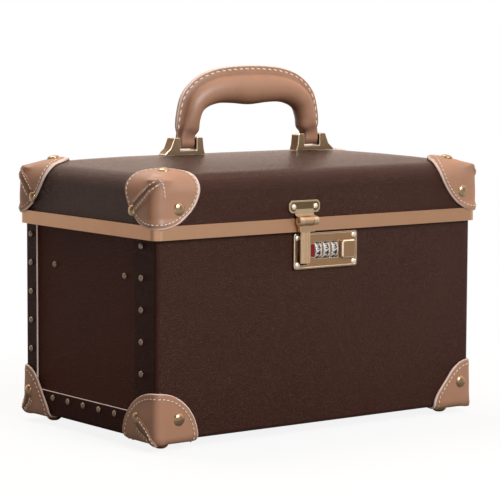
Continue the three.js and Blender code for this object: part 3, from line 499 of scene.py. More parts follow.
def turnedStud(profile, steps):
    # a small turned piece round Z, from pairs of radius and height in mm
    bm = bmesh.new()
    verts = [bm.verts.new((radius * mm, 0, height * mm)) for radius, height in profile]
    edges = [bm.edges.new(pair) for pair in zip(verts, verts[1:])]
    bmesh.ops.spin(bm, geom=verts + edges, axis=(0, 0, 1), cent=(0, 0, 0), angle=math.tau, steps=steps,
                   use_merge=True)
    bmesh.ops.remove_doubles(bm, verts=bm.verts, dist=0.004 * mm)
    closeEnds(bm)
    bmesh.ops.recalc_face_normals(bm, faces=bm.faces)
    return asStamp(bm)


def asStamp(bm):
    # a small mesh kept to be laid in many places
    stamp = bpy.data.meshes.new("stamp")
    bm.to_mesh(stamp)
    bm.free()
    return stamp


def stampAll(bm, stamp, places):
    for place in places:
        before = len(bm.verts)
        bm.from_mesh(stamp)
        bm.verts.ensure_lookup_table()
        bmesh.ops.transform(bm, matrix=place, verts=bm.verts[before:])


def facing(spot, normal, along=None):
    # stands a stamp on a spot in mm, its Z along the normal and its X along the given way
    up = Vector(normal).normalized()
    side = Vector(along) if along else up.orthogonal()
    side = (side - up * side.dot(up)).normalized()
    turn = Matrix((side, up.cross(side), up)).transposed().to_4x4()
    return Matrix.Translation(Vector(spot) * mm) @ turn


def evenly(path, pitch, closed=False):
    # spots at an even pitch along a path of (spot, normal) pairs, with the way the path runs
    ends = path + path[:1] if closed else path
    lengths = [(after[0] - before[0]).length for before, after in zip(ends, ends[1:])]
    total = sum(lengths)
    count = max(1, round(total / pitch))
    spots = []
    for index in range(count):
        left = total * (index + 0.5) / count
        for (before, after), length in zip(zip(ends, ends[1:]), lengths):
            if left <= length:
                break
            left -= length
        share = left / max(length, 1e-6)
        spots.append((before[0].lerp(after[0], share), before[1].lerp(after[1], share), after[0] - before[0]))
    return spots


def boxOf(node):
    # lowest and highest corner of a CAD node, in mm
    return [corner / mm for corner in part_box(node)]


stitchLook = {"length": 2.8, "width": 0.92, "height": 0.8, "longLength": 4.1, "longWidth": 1.35, "sink": 0.3,
              "slant": 8.0, "blunt": 0.7, "droop": 0.25}


def stitchStamp(length, width=stitchLook["width"]):
    # one stitch along X, blunt at its ends and bowed down towards its holes
    bm = bmesh.new()
    bmesh.ops.create_uvsphere(bm, u_segments=8, v_segments=6, radius=1)
    bmesh.ops.rotate(bm, verts=bm.verts, matrix=Matrix.Rotation(math.pi / 2, 3, "Y"))
    for vert in bm.verts:
        x, y, z = vert.co
        full = math.copysign(abs(x) ** stitchLook["blunt"], x)
        sunk = z - stitchLook["droop"] * x * x
        vert.co = Vector((full * length, y * width, sunk * stitchLook["height"])) / 2 * mm
    return asStamp(bm)


def sewAlong(bm, path, pitch, closed=False, slant=stitchLook["slant"], stamp=None):
    # stitches at an even pitch along a path of (spot, normal) pairs, sunk a little into the leather
    lean = Matrix.Rotation(math.radians(slant), 4, "Z")
    for spot, normal, along in evenly(path, pitch, closed):
        place = facing(spot + normal * (stitchLook["height"] / 2 - stitchLook["sink"]), normal, along)
        stampAll(bm, stamp or stitch, [place @ lean])


stitch = stitchStamp(stitchLook["length"])
longStitch = stitchStamp(stitchLook["longLength"], stitchLook["longWidth"])
studShapes = {
    # pairs of radius and height from the foot to the top, and the number of sides
    "dome": ([(5.2, -0.6), (5.2, 0.15), (4.9, 0.6), (4.1, 1.2), (2.9, 1.72), (1.5, 2.04), (0, 2.14)], 24),
    "small": ([(4.4, -0.6), (4.4, 0.1), (4.1, 0.55), (3.4, 1.05), (2.4, 1.5), (1.2, 1.78), (0, 1.86)], 24),
    "flat": ([(5.0, -0.6), (5.0, 0.4), (4.7, 1.0), (3.8, 1.6), (2.5, 2.0), (1.2, 2.2), (0, 2.25)], 24),
    "tack": ([(2.6, -0.5), (2.6, 0.1), (2.35, 0.55), (1.7, 1.02), (0.9, 1.27), (0, 1.34)], 16),
    "rivet": ([(1.7, -0.3), (1.7, 0.1), (1.5, 0.5), (0.95, 0.82), (0, 0.95)], 14),
}
dome, smallDome, flatDome, tack, rivetHead = (turnedStud(*shape) for shape in studShapes.values())


lidLow, lidHigh = boxOf("lid_shell")
bodyLow, bodyHigh = boxOf("body_wrap")
valanceTop = boxOf("lid_valance")[1].z
middleY = (bodyLow.y + bodyHigh.y) / 2

# a place on a leather corner is (s, t): s runs round the corner of the case, plus along the front and minus
# along the end, and t runs over the rounded edge from where the rounding starts, both in mm
skinLook = {
    "thick": 2.0, "lift": 0.3,  # the leather, and its space over the board
    "climb": 1.4, "climbAbove": 6.5, "climbOver": 6.0,  # how it climbs over the lid's metal edge
    "outline": 132, "rings": 32, "cutRings": (0.981, 0.968, 0.952, 0.93), "cutTurn": 0.3, "cutWide": 0.7,
    "seamSpots": 240, "dartSpots": 13, "dartSewn": (0.05, 0.92), "dartPitch": 3.5, "arcPitch": 3.1,
    "slant": 3.0, "rivetSink": 0.25,
    # how the leather lies: full in its pouch, pressed down towards its edge, pared thin where it is cut
    "pouchFall": 1.6, "pouchIn": 6.0, "press": 0.35, "pressIn": 4.5, "pare": 0.9, "pareCurve": 1.5,
    "flareFrom": -11.0, "flareOver": 12.0,
    # how much darker it is painted and over what width: painted shade in the seam and beside the dart, and
    # darker along the edge
    "seamDark": (0.3, 0.9), "edgeDark": (0.35, 1.2), "dartDark": (0.55, 3.4), "dartRise": (0.3, 3.0),
    "dartTip": (-3.0, 4.0), "dartHeel": (4.0, 5.0),
    "weltSteps": 26, "weltTip": 0.07, "weltHeel": (1.04, 0.08), "weltSlim": 0.7, "weltSink": 0.3,
    "fanOver": 0.7,
    # the folded seam that takes up the fullness: across it, its height and how dark its painted shade is,
    # darkest in the cleft
    "lips": ((-6.4, -0.6, 0.2), (-5.6, 0.2, 0.2), (-4.6, 0.55, 0.15), (-3.2, 0.72, 0.25), (-2.0, 0.5, 0.6),
             (-1.0, 0.0, 1.0), (-0.3, -0.25, 1.0), (0.3, 0.1, 1.0), (1.0, 0.9, 0.75), (2.4, 1.25, 0.35),
             (4.2, 1.1, 0.2), (5.3, 0.55, 0.3), (6.2, -0.6, 0.3)),
}
lidSkin = {
    # the lid's own shape: half its sides, the corner's radius, the rounded edge and the crown of the top
    "halfX": lidHigh.x, "halfY": (lidHigh.y - lidLow.y) / 2, "corner": 6.0, "cornerGrowth": 0.35,
    "edge": 15.0, "edgeStart": lidHigh.z - 22.0, "crown": 7.0, "up": 1,
    # the outline: its middle, how far it reaches round, down and up, and the level that is measured from
    "middle": (0.0, 3.0), "reach": 41.0, "low": 33.6, "high": 49.2, "level": valanceTop + 31.0,
    # narrow: the share cut off on the end and on the front, and taper: where that starts and over how much;
    # bare: how much cut leather shows along the edge, and flare: how far the leather stands off below
    "narrow": (0.0, 0.0), "taper": (18.0, 40.0), "bare": 2.0, "flare": 0.0,
    # pouch: place, width and height; ear: crest, half width, fullness, slope and place
    "pouch": (-8.0, -13.0, 13.0, 1.1), "ear": (0.6, 9.0, 1.05, 0.26, 0.0),
    # the dart runs from apex to heel and narrows to fan at its tip; its rows of stitches, beside it and up
    "apex": (1.8, 8.0), "heel": (-24.6, -10.6), "fan": 0.35, "dartRows": ((-3.3, 0.5), (3.1, 1.15)),
    # the rivets' places, then how far in the seam lies and its pitch
    "frontRivet": (18.7, -11.0), "sideRivet": (-28.5, -13.2), "topRivet": (1.4, 24.0), "sewn": (3.9, 3.7),
    "arc": ((-0.9, 9.4), (1.6, 8.6), (3.4, 6.6), (4.5, 3.8), (5.1, 0.6), (5.4, -2.0)),
    "changes": {"front_right": {"frontRivet": (16.8, -9.4), "narrow": (0.0, 0.2), "bare": 0.9, "arc": None,
                                "ear": (0.6, 11.0, 1.15, 0.37, 0.0), "topRivet": (0.6, 22.6)},
                "rear_left": {"frontRivet": (17.5, -11.0), "sideRivet": (-26.5, -12.2), "narrow": (0.3, 0.0),
                              "ear": (0.6, 9.0, 1.05, 0.38, 0.0), "topRivet": (0.0, 25.0)},
                "rear_right": {"frontRivet": (18.0, -10.5)}},
}
bodySkin = {
    "halfX": bodyHigh.x, "halfY": (bodyHigh.y - bodyLow.y) / 2, "corner": 3.5, "cornerGrowth": 0.0,
    "edge": 3.5, "edgeStart": bodyLow.z + 3.5, "crown": 0.0, "up": -1,
    "middle": (0.0, -3.0), "reach": 38.5, "low": 38.5, "high": 38.5, "level": bodyLow.z,
    "narrow": (-0.2, 0.0), "taper": (14.0, 16.0), "bare": 1.0, "flare": 0.6,
    "pouch": (-9.0, -13.0, 12.0, 0.9), "ear": (0.75, 4.2, 0.6, 0.07, 0.4),
    "apex": (0.6, 4.2), "heel": (-18.6, -10.2), "fan": 0.2,
    "dartRows": ((-5.6, 0.0), (-3.4, 0.6), (3.7, 1.1)),
    "frontRivet": (18.6, -13.6), "sideRivet": (-20.6, -13.2), "topRivet": None, "sewn": (4.3, 4.0),
    "arc": None,
    "changes": {"front_right": {"frontRivet": (11.0, -16.2), "narrow": (0.0, 0.2), "taper": (0.0, 24.0)},
                "rear_left": {"frontRivet": (17.0, -14.5), "heel": (-10.0, -11.0), "sideRivet": (-9.5, -14.5),
                              "apex": (-2.6, 1.6), "ear": (0.75, 5.0, 0.1, 0.07, 0.0),
                              "narrow": (0.25, 0.0), "taper": (8.0, 30.0), "flare": 2.6},
                "rear_right": {"frontRivet": (14.0, -15.0), "narrow": (0.0, 0.0)}},
}


def sideProfile(look, t):
    # how far in, how far on and which way the side faces, t along it from where the rounding starts
    edge = look["edge"]
    turn = math.atan2(look["halfY"] - edge, 2 * look["crown"])
    if t < 0:
        return 0.0, t, 0.0
    if t < edge * turn:
        return edge * (1 - math.cos(t / edge)), edge * math.sin(t / edge), t / edge
    start = edge * (1 - math.cos(turn))
    inset = start + (t - edge * turn) * math.sin(turn)
    share = (inset - start) / (look["halfY"] - start)
    rise = edge * math.sin(turn) + (look["crown"] + edge - edge * math.sin(turn)) * (1 - (1 - share) ** 2)
    return inset, rise, math.atan(math.tan(turn) / max(1 - share, 0.02))


def overCorner(look, s, t, lift):
    # a place on the corner raised by a lift, measured from the corner, and the way it faces
    inset, rise, tilt = sideProfile(look, t)
    radius = look["corner"] + look["cornerGrowth"] * inset
    out = lift * math.cos(tilt)
    bend = radius * math.pi / 4
    if abs(s) < bend:
        angle = math.pi / 4 - s / radius
        side = Vector((-math.sin(angle), -math.cos(angle)))
        flat = Vector((inset + radius, inset + radius)) + side * (radius + out)
    elif s > 0:
        side = Vector((0, -1))
        flat = Vector((inset + radius + s - bend, inset - out))
    else:
        side = Vector((-1, 0))
        flat = Vector((inset - out, inset + radius - s - bend))
    height = look["edgeStart"] + look["up"] * (rise + lift * math.sin(tilt))
    normal = Vector((side.x * math.cos(tilt), side.y * math.cos(tilt), look["up"] * math.sin(tilt)))
    return Vector((flat.x, flat.y, height)), normal


def underLift(look, height):
    if look["up"] < 0:
        return skinLook["lift"]
    near = ease((valanceTop + skinLook["climbAbove"] - height) / skinLook["climbOver"])
    return skinLook["lift"] + skinLook["climb"] * near


def skinReach(look, angle):
    # how far the leather reaches from its middle one way in mm, found by halving
    near, far = 5.0, 90.0
    while far - near > 0.02:
        half = (near + far) / 2
        spot, _ = overCorner(look, look["middle"][0] + half * math.cos(angle),
                             look["middle"][1] + half * math.sin(angle), 1.0)
        drop = spot.z - look["level"]
        tall = look["high"] if drop > 0 else look["low"]
        inside = (spot.x ** 2 + spot.y ** 2) / look["reach"] ** 2 + (drop / tall) ** 2 < 1
        near, far = (half, far) if inside else (near, half)
    return near


def bell(distance, width):
    return math.exp(-(distance / width) ** 2)


def earRelief(look, s, t):
    # the leather stands square over the rounded edge where the dart pulls it together
    crest, wide, full, slope, centre = look["ear"]
    tilt = min(max(t / look["edge"], 0.0), math.pi / 2)
    body = look["edge"] + skinLook["lift"] + skinLook["thick"]
    over = (math.tan(crest) + slope) / (math.sin(tilt) + slope * math.cos(tilt))
    square = body * (1 / math.cos(tilt) if tilt < crest else over)
    lean = look["flare"] * ease((t - skinLook["flareFrom"]) / skinLook["flareOver"]) * math.cos(tilt)
    return (full * max(square - body, 0.0) + lean) * bell(s - centre, wide)


def skinRelief(look, s, t, edge):
    # how far the leather stands off its even thickness, and how dark it is painted: painted shade in the seam
    # and beside the dart, darker along the edge; edge mm in from its edge
    centreS, centreT, wide, high = look["pouch"]
    away = math.hypot((s - centreS) / wide, (t - centreT) / wide)
    lift = high * math.exp(-away * away * skinLook["pouchFall"]) * ease(edge / skinLook["pouchIn"])
    lift -= skinLook["press"] * ease(1 - edge / skinLook["pressIn"])
    lift += earRelief(look, s, t)
    if edge < look["bare"]:
        lift -= skinLook["pare"] * (1 - edge / look["bare"]) ** skinLook["pareCurve"]
    (seamDark, seamWide), (edgeDark, edgeWide) = skinLook["seamDark"], skinLook["edgeDark"]
    dark = seamDark * bell(edge - look["sewn"][0], seamWide) + edgeDark * ease(1 - edge / edgeWide)
    start, end = Vector(look["apex"]), Vector(look["heel"])
    run = (end - start).normalized()
    beyond = Vector((s, t)) - start
    along, across = beyond.dot(run), run.cross(beyond)
    (tip, tipOver), (heel, heelOver) = skinLook["dartTip"], skinLook["dartHeel"]
    near = ease((along - tip) / tipOver) * ease(((end - start).length + heel - along) / heelOver)
    (dartDark, darkWide), (dartRise, riseWide) = skinLook["dartDark"], skinLook["dartRise"]
    dark += dartDark * bell(across, darkWide) * near
    lift += dartRise * bell(across, riseWide) * near
    return lift, min(dark, 1.0)


def trimmed(look, s, t):
    # some corners are cut narrower or wider, on the end of the case or on its front
    start, over = look["taper"]
    return s * (1 - look["narrow"][s > 0] * ease((start - t) / over))


def placedOn(look, side, spot, normal):
    # from a corner's own directions to the case's
    sx, sy = side
    there = Vector((sx * (look["halfX"] - spot.x), middleY + sy * (look["halfY"] - spot.y), spot.z))
    return there, Vector((-sx * normal.x, -sy * normal.y, normal.z))


def skinSpot(look, side, s, t, extra=0.0, edge=20.0):
    # a spot on top of the leather and the way it faces
    relief, _ = skinRelief(look, s, t, edge)
    s = trimmed(look, s, t)
    flat, _ = overCorner(look, s, t, 0)
    spot, normal = overCorner(look, s, t, underLift(look, flat.z) + skinLook["thick"] + relief + extra)
    return placedOn(look, side, spot, normal)


def tracedSpot(look, reaches, angle, inset=0.0, share=1.0):
    # a spot of the leather's outline, or inside it, and how far from the edge it is
    step = angle / math.tau * len(reaches)
    whole = int(step) % len(reaches)
    reach = reaches[whole] + (reaches[(whole + 1) % len(reaches)] - reaches[whole]) * (step - int(step))
    s = look["middle"][0] + (reach - inset) * share * math.cos(angle)
    t = look["middle"][1] + (reach - inset) * share * math.sin(angle)
    return s, t, reach * (1 - share) + inset


def leatherDisc():
    # a flat disc in many rings, which are closer where the cut edge will be
    bm = bmesh.new()
    bmesh.ops.create_circle(bm, cap_ends=True, segments=120, radius=1)
    *cut, inner = skinLook["cutRings"]
    last = 1.0
    for share in cut + [inner - inner * step / skinLook["rings"] for step in range(skinLook["rings"])]:
        face = max(bm.faces, key=lambda face: len(face.verts))
        bmesh.ops.inset_region(bm, faces=[face], thickness=last - share, use_boundary=True,
                               use_even_offset=True)
        last = share
    bmesh.ops.poke(bm, faces=[max(bm.faces, key=lambda face: len(face.verts))])
    return bm


def cutCorner(name, look, side, reaches):
    bm = leatherDisc()
    fold = bm.verts.layers.float.new("fold")
    inset = bm.verts.layers.float.new("edge")
    twin = bmesh.ops.duplicate(bm, geom=bm.verts[:] + bm.edges[:] + bm.faces[:])
    backing = {item for item in twin["geom"] if isinstance(item, bmesh.types.BMVert)}
    for vert in bm.verts:
        angle = math.atan2(vert.co.y, vert.co.x) % math.tau
        s, t, edge = tracedSpot(look, reaches, angle, share=min(vert.co.xy.length, 1.0))
        relief, vert[fold] = skinRelief(look, s, t, edge)
        s = trimmed(look, s, t)
        flat, _ = overCorner(look, s, t, 0)
        lift = underLift(look, flat.z)
        # more of the cut edge shows where it is turned to the middle of the front
        vert[inset] = edge / (1 + skinLook["cutWide"] * max(math.cos(angle - skinLook["cutTurn"]), 0) ** 2)
        if vert not in backing:
            lift += skinLook["thick"] + relief
        spot, normal = overCorner(look, s, t, lift)
        vert.co = placedOn(look, side, spot, normal)[0] * mm
    rim = bmesh.ops.bridge_loops(bm, edges=[edge for edge in bm.edges if edge.is_boundary])["faces"]
    pared = [face for face in bm.faces if not backing.intersection(face.verts)
             and max(vert[inset] for vert in face.verts) < look["bare"]]
    for face in rim + pared:
        face.material_index = 1
    bmesh.ops.recalc_face_normals(bm, faces=bm.faces)
    return keepPiece(bm, name + "_leather", hide, rawEdge, smooth=True)


def dartSpot(look, share, offset, slim=1.0):
    # a place beside the dart, share of the way from its tip to its heel
    start, end = Vector(look["apex"]), Vector(look["heel"])
    run = (end - start).normalized()
    fanned = look["fan"] + (1 - look["fan"]) * ease(share / skinLook["fanOver"])
    return start.lerp(end, share) + Vector((-run.y, run.x)) * offset * fanned * slim


def dartWelt(bm, look, side):
    # two lips with painted shade in the cleft between, which fade out at both ends
    lips, steps, slim = skinLook["lips"], skinLook["weltSteps"], skinLook["weltSlim"]
    heel, heelOver = skinLook["weltHeel"]
    strip = bmesh.ops.create_grid(bm, x_segments=len(lips) - 1, y_segments=steps, size=0.5)
    fold = bm.verts.layers.float["fold"]
    for vert in strip["verts"]:
        offset, height, vert[fold] = lips[round((vert.co.x + 0.5) * (len(lips) - 1))]
        share = round((vert.co.y + 0.5) * steps) / steps
        taper = ease(share / skinLook["weltTip"]) * math.sqrt(ease((heel - share) / heelOver))
        flat = dartSpot(look, share, offset, slim + (1 - slim) * taper)
        vert.co = skinSpot(look, side, *flat, height * taper - skinLook["weltSink"] * (1 - taper))[0] * mm


def dressCorner(look, side, reaches, threads, metals):
    inset, pitch = look["sewn"]
    loop = []
    for index in range(skinLook["seamSpots"]):
        s, t, _ = tracedSpot(look, reaches, index / skinLook["seamSpots"] * math.tau, inset)
        loop.append(skinSpot(look, side, s, t, edge=inset))
    sewAlong(threads, loop, pitch, closed=True)
    last = skinLook["dartSpots"] - 1
    start, end = skinLook["dartSewn"]
    for offset, height in look["dartRows"]:
        places = [dartSpot(look, start + (end - start) * index / last, offset) for index in range(last + 1)]
        line = [skinSpot(look, side, *place, height) for place in places]
        sewAlong(threads, line, skinLook["dartPitch"], slant=skinLook["slant"])
    if look["arc"]:
        line = [skinSpot(look, side, *place) for place in look["arc"]]
        sewAlong(threads, line, skinLook["arcPitch"], slant=skinLook["slant"])
    for key, stamp in (("frontRivet", dome), ("sideRivet", smallDome), ("topRivet", flatDome)):
        if look[key]:
            stampAll(metals, stamp, [facing(*skinSpot(look, side, *look[key], -skinLook["rivetSink"]))])


def makeCorners():
    # each corner is the same skin but for its own changes, turned to its side of the case
    sides = {"front_left": (-1, -1), "front_right": (1, -1), "rear_left": (-1, 1), "rear_right": (1, 1)}
    for family, skin, rider in (("lid", lidSkin, "lid"), ("body", bodySkin, "case")):
        outline = skinLook["outline"]
        reaches = [skinReach(skin, index / outline * math.tau) for index in range(outline)]
        threads, metals, welts = bmesh.new(), bmesh.new(), bmesh.new()
        welts.verts.layers.float.new("fold")
        for place, side in sides.items():
            name = f"{family}_corner_{place}"
            look = {**skin, **skin["changes"].get(place, {})}
            leather = cutCorner(name, look, side, reaches)
            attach(leather, rider)
            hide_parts(name)
            dartWelt(welts, look, side)
            dressCorner(look, side, reaches, threads, metals)
        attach(keepPiece(welts, family + "_corner_welts", hide, smooth=True, tidy=True), rider)
        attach(keepPiece(threads, family + "_corner_stitching", thread, smooth=True), rider)
        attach(keepPiece(metals, family + "_corner_rivets", brass, smooth=True), rider)


makeCorners()
print("leather corners sewn and riveted")


easeLook = {
    "joined": 0.003,  # spots this close become one
    "flat": 0.6,  # faces at less than this angle become one flat
    "sharp": 28.0, "shortest": 0.8,  # an edge is eased if it is this sharp, and this long beside its easing
    "shaded": 33.0,  # faces at less than this angle are shaded as one
}


def evenShading(mesh):
    # each corner is shaded by the area of the faces that meet there smoothly, so that flats stay flat
    bm = bmesh.new()
    bm.from_mesh(mesh)
    bm.faces.ensure_lookup_table()
    least = math.cos(math.radians(easeLook["shaded"]))
    areas = [face.calc_area() for face in bm.faces]
    normals = []
    for face in bm.faces:
        for loop in face.loops:
            total = Vector()
            for other in loop.vert.link_faces:
                if other.normal.dot(face.normal) > least:
                    total += other.normal * areas[other.index]
            normals.append(total.normalized() if total.length else face.normal.copy())
    bm.free()
    mesh.normals_split_custom_set(normals)


def softened(name, finish, rim, width, rider, segments=2, patch=None):
    # a CAD piece with its arrises eased and given a finish of their own, on metal a paler one: painted
    # highlight, with metal worn bright, so that they catch the light
    bm = bmesh.new()
    bm.from_mesh(nodes[name].data)
    bmesh.ops.remove_doubles(bm, verts=bm.verts, dist=easeLook["joined"] * mm)
    bmesh.ops.dissolve_limit(bm, angle_limit=math.radians(easeLook["flat"]), verts=bm.verts, edges=bm.edges)
    arrises = [edge for edge in bm.edges if len(edge.link_faces) == 2 and width
               and math.degrees(edge.calc_face_angle(0)) > easeLook["sharp"]
               and edge.calc_length() > width * mm * easeLook["shortest"]]
    if arrises:
        eased = bmesh.ops.bevel(bm, geom=arrises, offset=width * mm, affect="EDGES", segments=segments,
                                profile=0.5, material=-1, clamp_overlap=True)
        for face in eased["faces"]:
            face.material_index = 1
    finishes = [finish, rim]
    if patch:
        # some faces of the piece have a finish of their own
        finishes.append(patch[1])
        for face in bm.faces:
            if patch[0](face):
                face.material_index = 2
    piece = keepPiece(bm, name + "_eased", *finishes, smooth=True)
    evenShading(piece.data)
    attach(piece, rider)
    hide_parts(name)
    return piece


handleLook = {
    # from the pin to the middle: how far out, how far up, half height, half depth, how square, how much seam
    "stations": [(64.0, 0.0, 7.0, 5.2, 5.5, 0.0), (64.0, 3.4, 7.0, 5.2, 5.5, 0.1),
                 (63.3, 7.6, 7.25, 6.0, 3.6, 0.55), (60.9, 12.0, 8.6, 7.6, 2.6, 0.74),
                 (59.5, 20.0, 8.5, 9.1, 2.1, 0.82), (55.6, 30.4, 9.3, 10.0, 2.0, 0.9),
                 (46.2, 37.9, 10.3, 10.4, 2.0, 0.97), (33.0, 42.0, 11.0, 10.7, 2.0, 1.0),
                 (18.0, 43.0, 12.0, 11.0, 2.0, 1.0), (0.0, 42.6, 13.0, 11.1, 2.0, 1.0)],
    # the sewn edge, from its middle round to where the grip begins: out from the tip, and share of its half
    "rim": [(-0.3, 0.0), (0.0, 0.25), (0.0, 0.72), (-0.7, 1.0), (-2.2, 1.0), (-2.7, 0.84), (-3.1, 0.84),
            (-3.6, 1.0)],
    "seam": 6.3, "seamHalf": 2.1, "swell": 3.2, "cutColumns": 3,
    "sewnIn": 2.9, "sewnLeast": 0.4, "sewnOut": 0.92, "sewnFrom": 0.106, "sewnSpots": 160, "pitch": 5.9,
    "slant": 6.0, "bracketArris": 0.5, "cheekTilt": 0.6, "cheekArea": 8.0,
    # the grip turns sharply at the pins, so its way out is taken over this share of its length
    "bend": 0.06, "columns": 48, "capRows": 8, "rows": 150,
    # where the leather is painted darker: painted shade beside the seam and inside the grip, and darker above
    # the pins
    "seamShade": (0.3, 9.0, 1.6), "pinDarkening": (0.5, 8.5, 3.5), "insideShade": (0.25, 15.0, 9.0),
}
pinLow, pinHigh = boxOf("handle_pin_left")
pinShift = Vector((0, (pinLow.y + pinHigh.y) / 2, (pinLow.z + pinHigh.z) / 2))


def curved(points, share):
    # a smooth run through rows of numbers, share from 0 to 1
    place = share * (len(points) - 1)
    index = min(int(place), len(points) - 2)
    t = place - index
    before, start = points[max(index - 1, 0)], points[index]
    end, after = points[index + 1], points[min(index + 2, len(points) - 1)]
    return [0.5 * (2 * b + (c - a) * t + (2 * a - 5 * b + 4 * c - d) * t * t
                   + (3 * b - a - 3 * c + d) * t ** 3) for a, b, c, d in zip(before, start, end, after)]


def gripStation(v):
    # middle, way out and section of the grip, v from one pin to the other
    stations = handleLook["stations"]
    whole = stations + [(-station[0], *station[1:]) for station in reversed(stations[:-1])]
    x, z, high, deep, square, seam = curved(whole, v)
    step = handleLook["bend"]
    ahead, behind = curved(whole, min(v + step, 1)), curved(whole, max(v - step, 0))
    along = Vector((ahead[0] - behind[0], 0, ahead[1] - behind[1])).normalized()
    return Vector((x, 0, z)), Vector((along.z, 0, -along.x)), high, deep, square, max(seam, 0.0)


def gripOutline(q, high, deep, square, seam):
    # half of the section, from the seam's rim at q = 0 round to the inside of the grip at q = 1
    tip, half = high + handleLook["seam"] * seam, handleLook["seamHalf"] * seam
    rim, swell = handleLook["rim"], handleLook["swell"]
    columns = handleLook["columns"] // 2
    place = q * columns
    if place < len(rim):
        out, wide = rim[int(place)]
        return tip + out * seam, half * wide
    angle = math.pi * (place - len(rim) + 0.5 * seam) / (columns - len(rim) + 0.5 * seam)
    cosine, sine = math.cos(angle), abs(math.sin(angle))
    reach = high * math.copysign(abs(cosine) ** (2 / square), cosine)
    wide = deep * sine ** (2 / square)
    if angle < math.pi / 2:
        # the leather swells round the sewn edge
        wide = (wide ** swell + half ** swell) ** (1 / swell)
    return reach, wide


def gripShare(v):
    # place along the grip from one pin to the other, and how far over the round cap below a pin
    rows, caps = handleLook["rows"], handleLook["capRows"]
    row = v * (rows + 2 * caps)
    return min(max((row - caps) / rows, 0), 1), max(caps - row, row - rows - caps, 0) / caps


def gripSpot(u, v):
    share, over = gripShare(v)
    centre, out, high, deep, square, seam = gripStation(share)
    reach, wide = gripOutline(min(u, 1 - u) * 2, high, deep, square, seam)
    if over > 0:
        centre = centre - Vector((0, 0, deep * math.sin(over * math.pi / 2)))
        wide *= math.cos(over * math.pi / 2)
    side = 1 if u < 0.5 else -1
    return pinShift + centre + out * reach + Vector((0, side * wide, 0))


def gripWorn(u, v):
    # painted shade beside the seam and inside the grip, and darker above the pins
    column = min(u, 1 - u) * handleLook["columns"]
    height = gripStation(gripShare(v)[0])[0].z
    (seamDark, seam, seamWide), (pinDark, pin, pinWide) = handleLook["seamShade"], handleLook["pinDarkening"]
    insideDark, start, over = handleLook["insideShade"]
    return min(seamDark * bell(column - seam, seamWide) + pinDark * bell(height - pin, pinWide)
               + insideDark * ease((column - start) / over), 1.0)


def makeHandle():
    columns, spots = handleLook["columns"], handleLook["sewnSpots"]
    rows = handleLook["rows"] + 2 * handleLook["capRows"]
    bm = freshGrid(columns, rows, gripSpot, closed=True, worn=gripWorn,
                   paint=lambda u, v: 1 if min(u, 1 - u) * columns < handleLook["cutColumns"] else 0)
    bmesh.ops.recalc_face_normals(bm, faces=bm.faces)
    grip = keepPiece(bm, "handle_grip_padded", hide, rawEdge, smooth=True)
    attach(grip, "handle")
    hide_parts("handle_grip")
    threads = bmesh.new()
    start, least = handleLook["sewnFrom"], handleLook["sewnLeast"]
    for side in (-1, 1):
        line = []
        for index in range(spots + 1):
            centre, out, high, _, _, seam = gripStation(start + (1 - 2 * start) * index / spots)
            inward = handleLook["sewnIn"] * (least + (1 - least) * seam)
            aside = side * handleLook["seamHalf"] * handleLook["sewnOut"] * seam
            spot = centre + out * (high + handleLook["seam"] * seam - inward) + Vector((0, aside, 0))
            line.append((pinShift + spot, Vector((0, side, 0))))
        sewAlong(threads, line, handleLook["pitch"], slant=side * handleLook["slant"], stamp=longStitch)
    stitching = keepPiece(threads, "handle_stitching", thread, smooth=True)
    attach(stitching, "handle")
    # the brackets' side faces are in the dark brass: painted shade
    tilt, area = handleLook["cheekTilt"], handleLook["cheekArea"] * mm * mm
    cheeks = (lambda face: abs(face.normal.x) > tilt and face.calc_area() > area, brassField)
    for side in ("left", "right"):
        softened(f"handle_bracket_{side}", brass, brassRim, handleLook["bracketArris"], "lid", patch=cheeks)


makeHandle()
print("handle padded and sewn")


lockLow, lockHigh = boxOf("lock_plate")
haspLow, haspHigh = boxOf("hasp_plate")
lockLook = {
    "screwInset": 3.6, "faceDepth": 0.8, "haspRivetInset": 4.6, "haspRivetHeight": 5.0, "haspFace": 0.9,
    "digitHeight": 4.4, "digitSize": 1.38, "digitBold": 0.13, "digitWide": 1.4, "digitProud": 0.07,
    # a figure bends round its wheel at these levels, and this one faces straight out
    "digitLevels": (-1.2, -0.4, 0.4, 1.2), "frontDigit": 3,
    "dialEdge": 0.35, "grooveDepth": 0.5, "grooveHalf": 4.5, "knurls": 12, "dialSharp": 35.0,
    "plateArris": 0.4, "indexArris": 0.3, "roundArris": 0.9, "fieldClear": 0.2, "roundSteps": 4,
}
land = 36.0  # degrees: a dial has ten flats, with a groove between each two


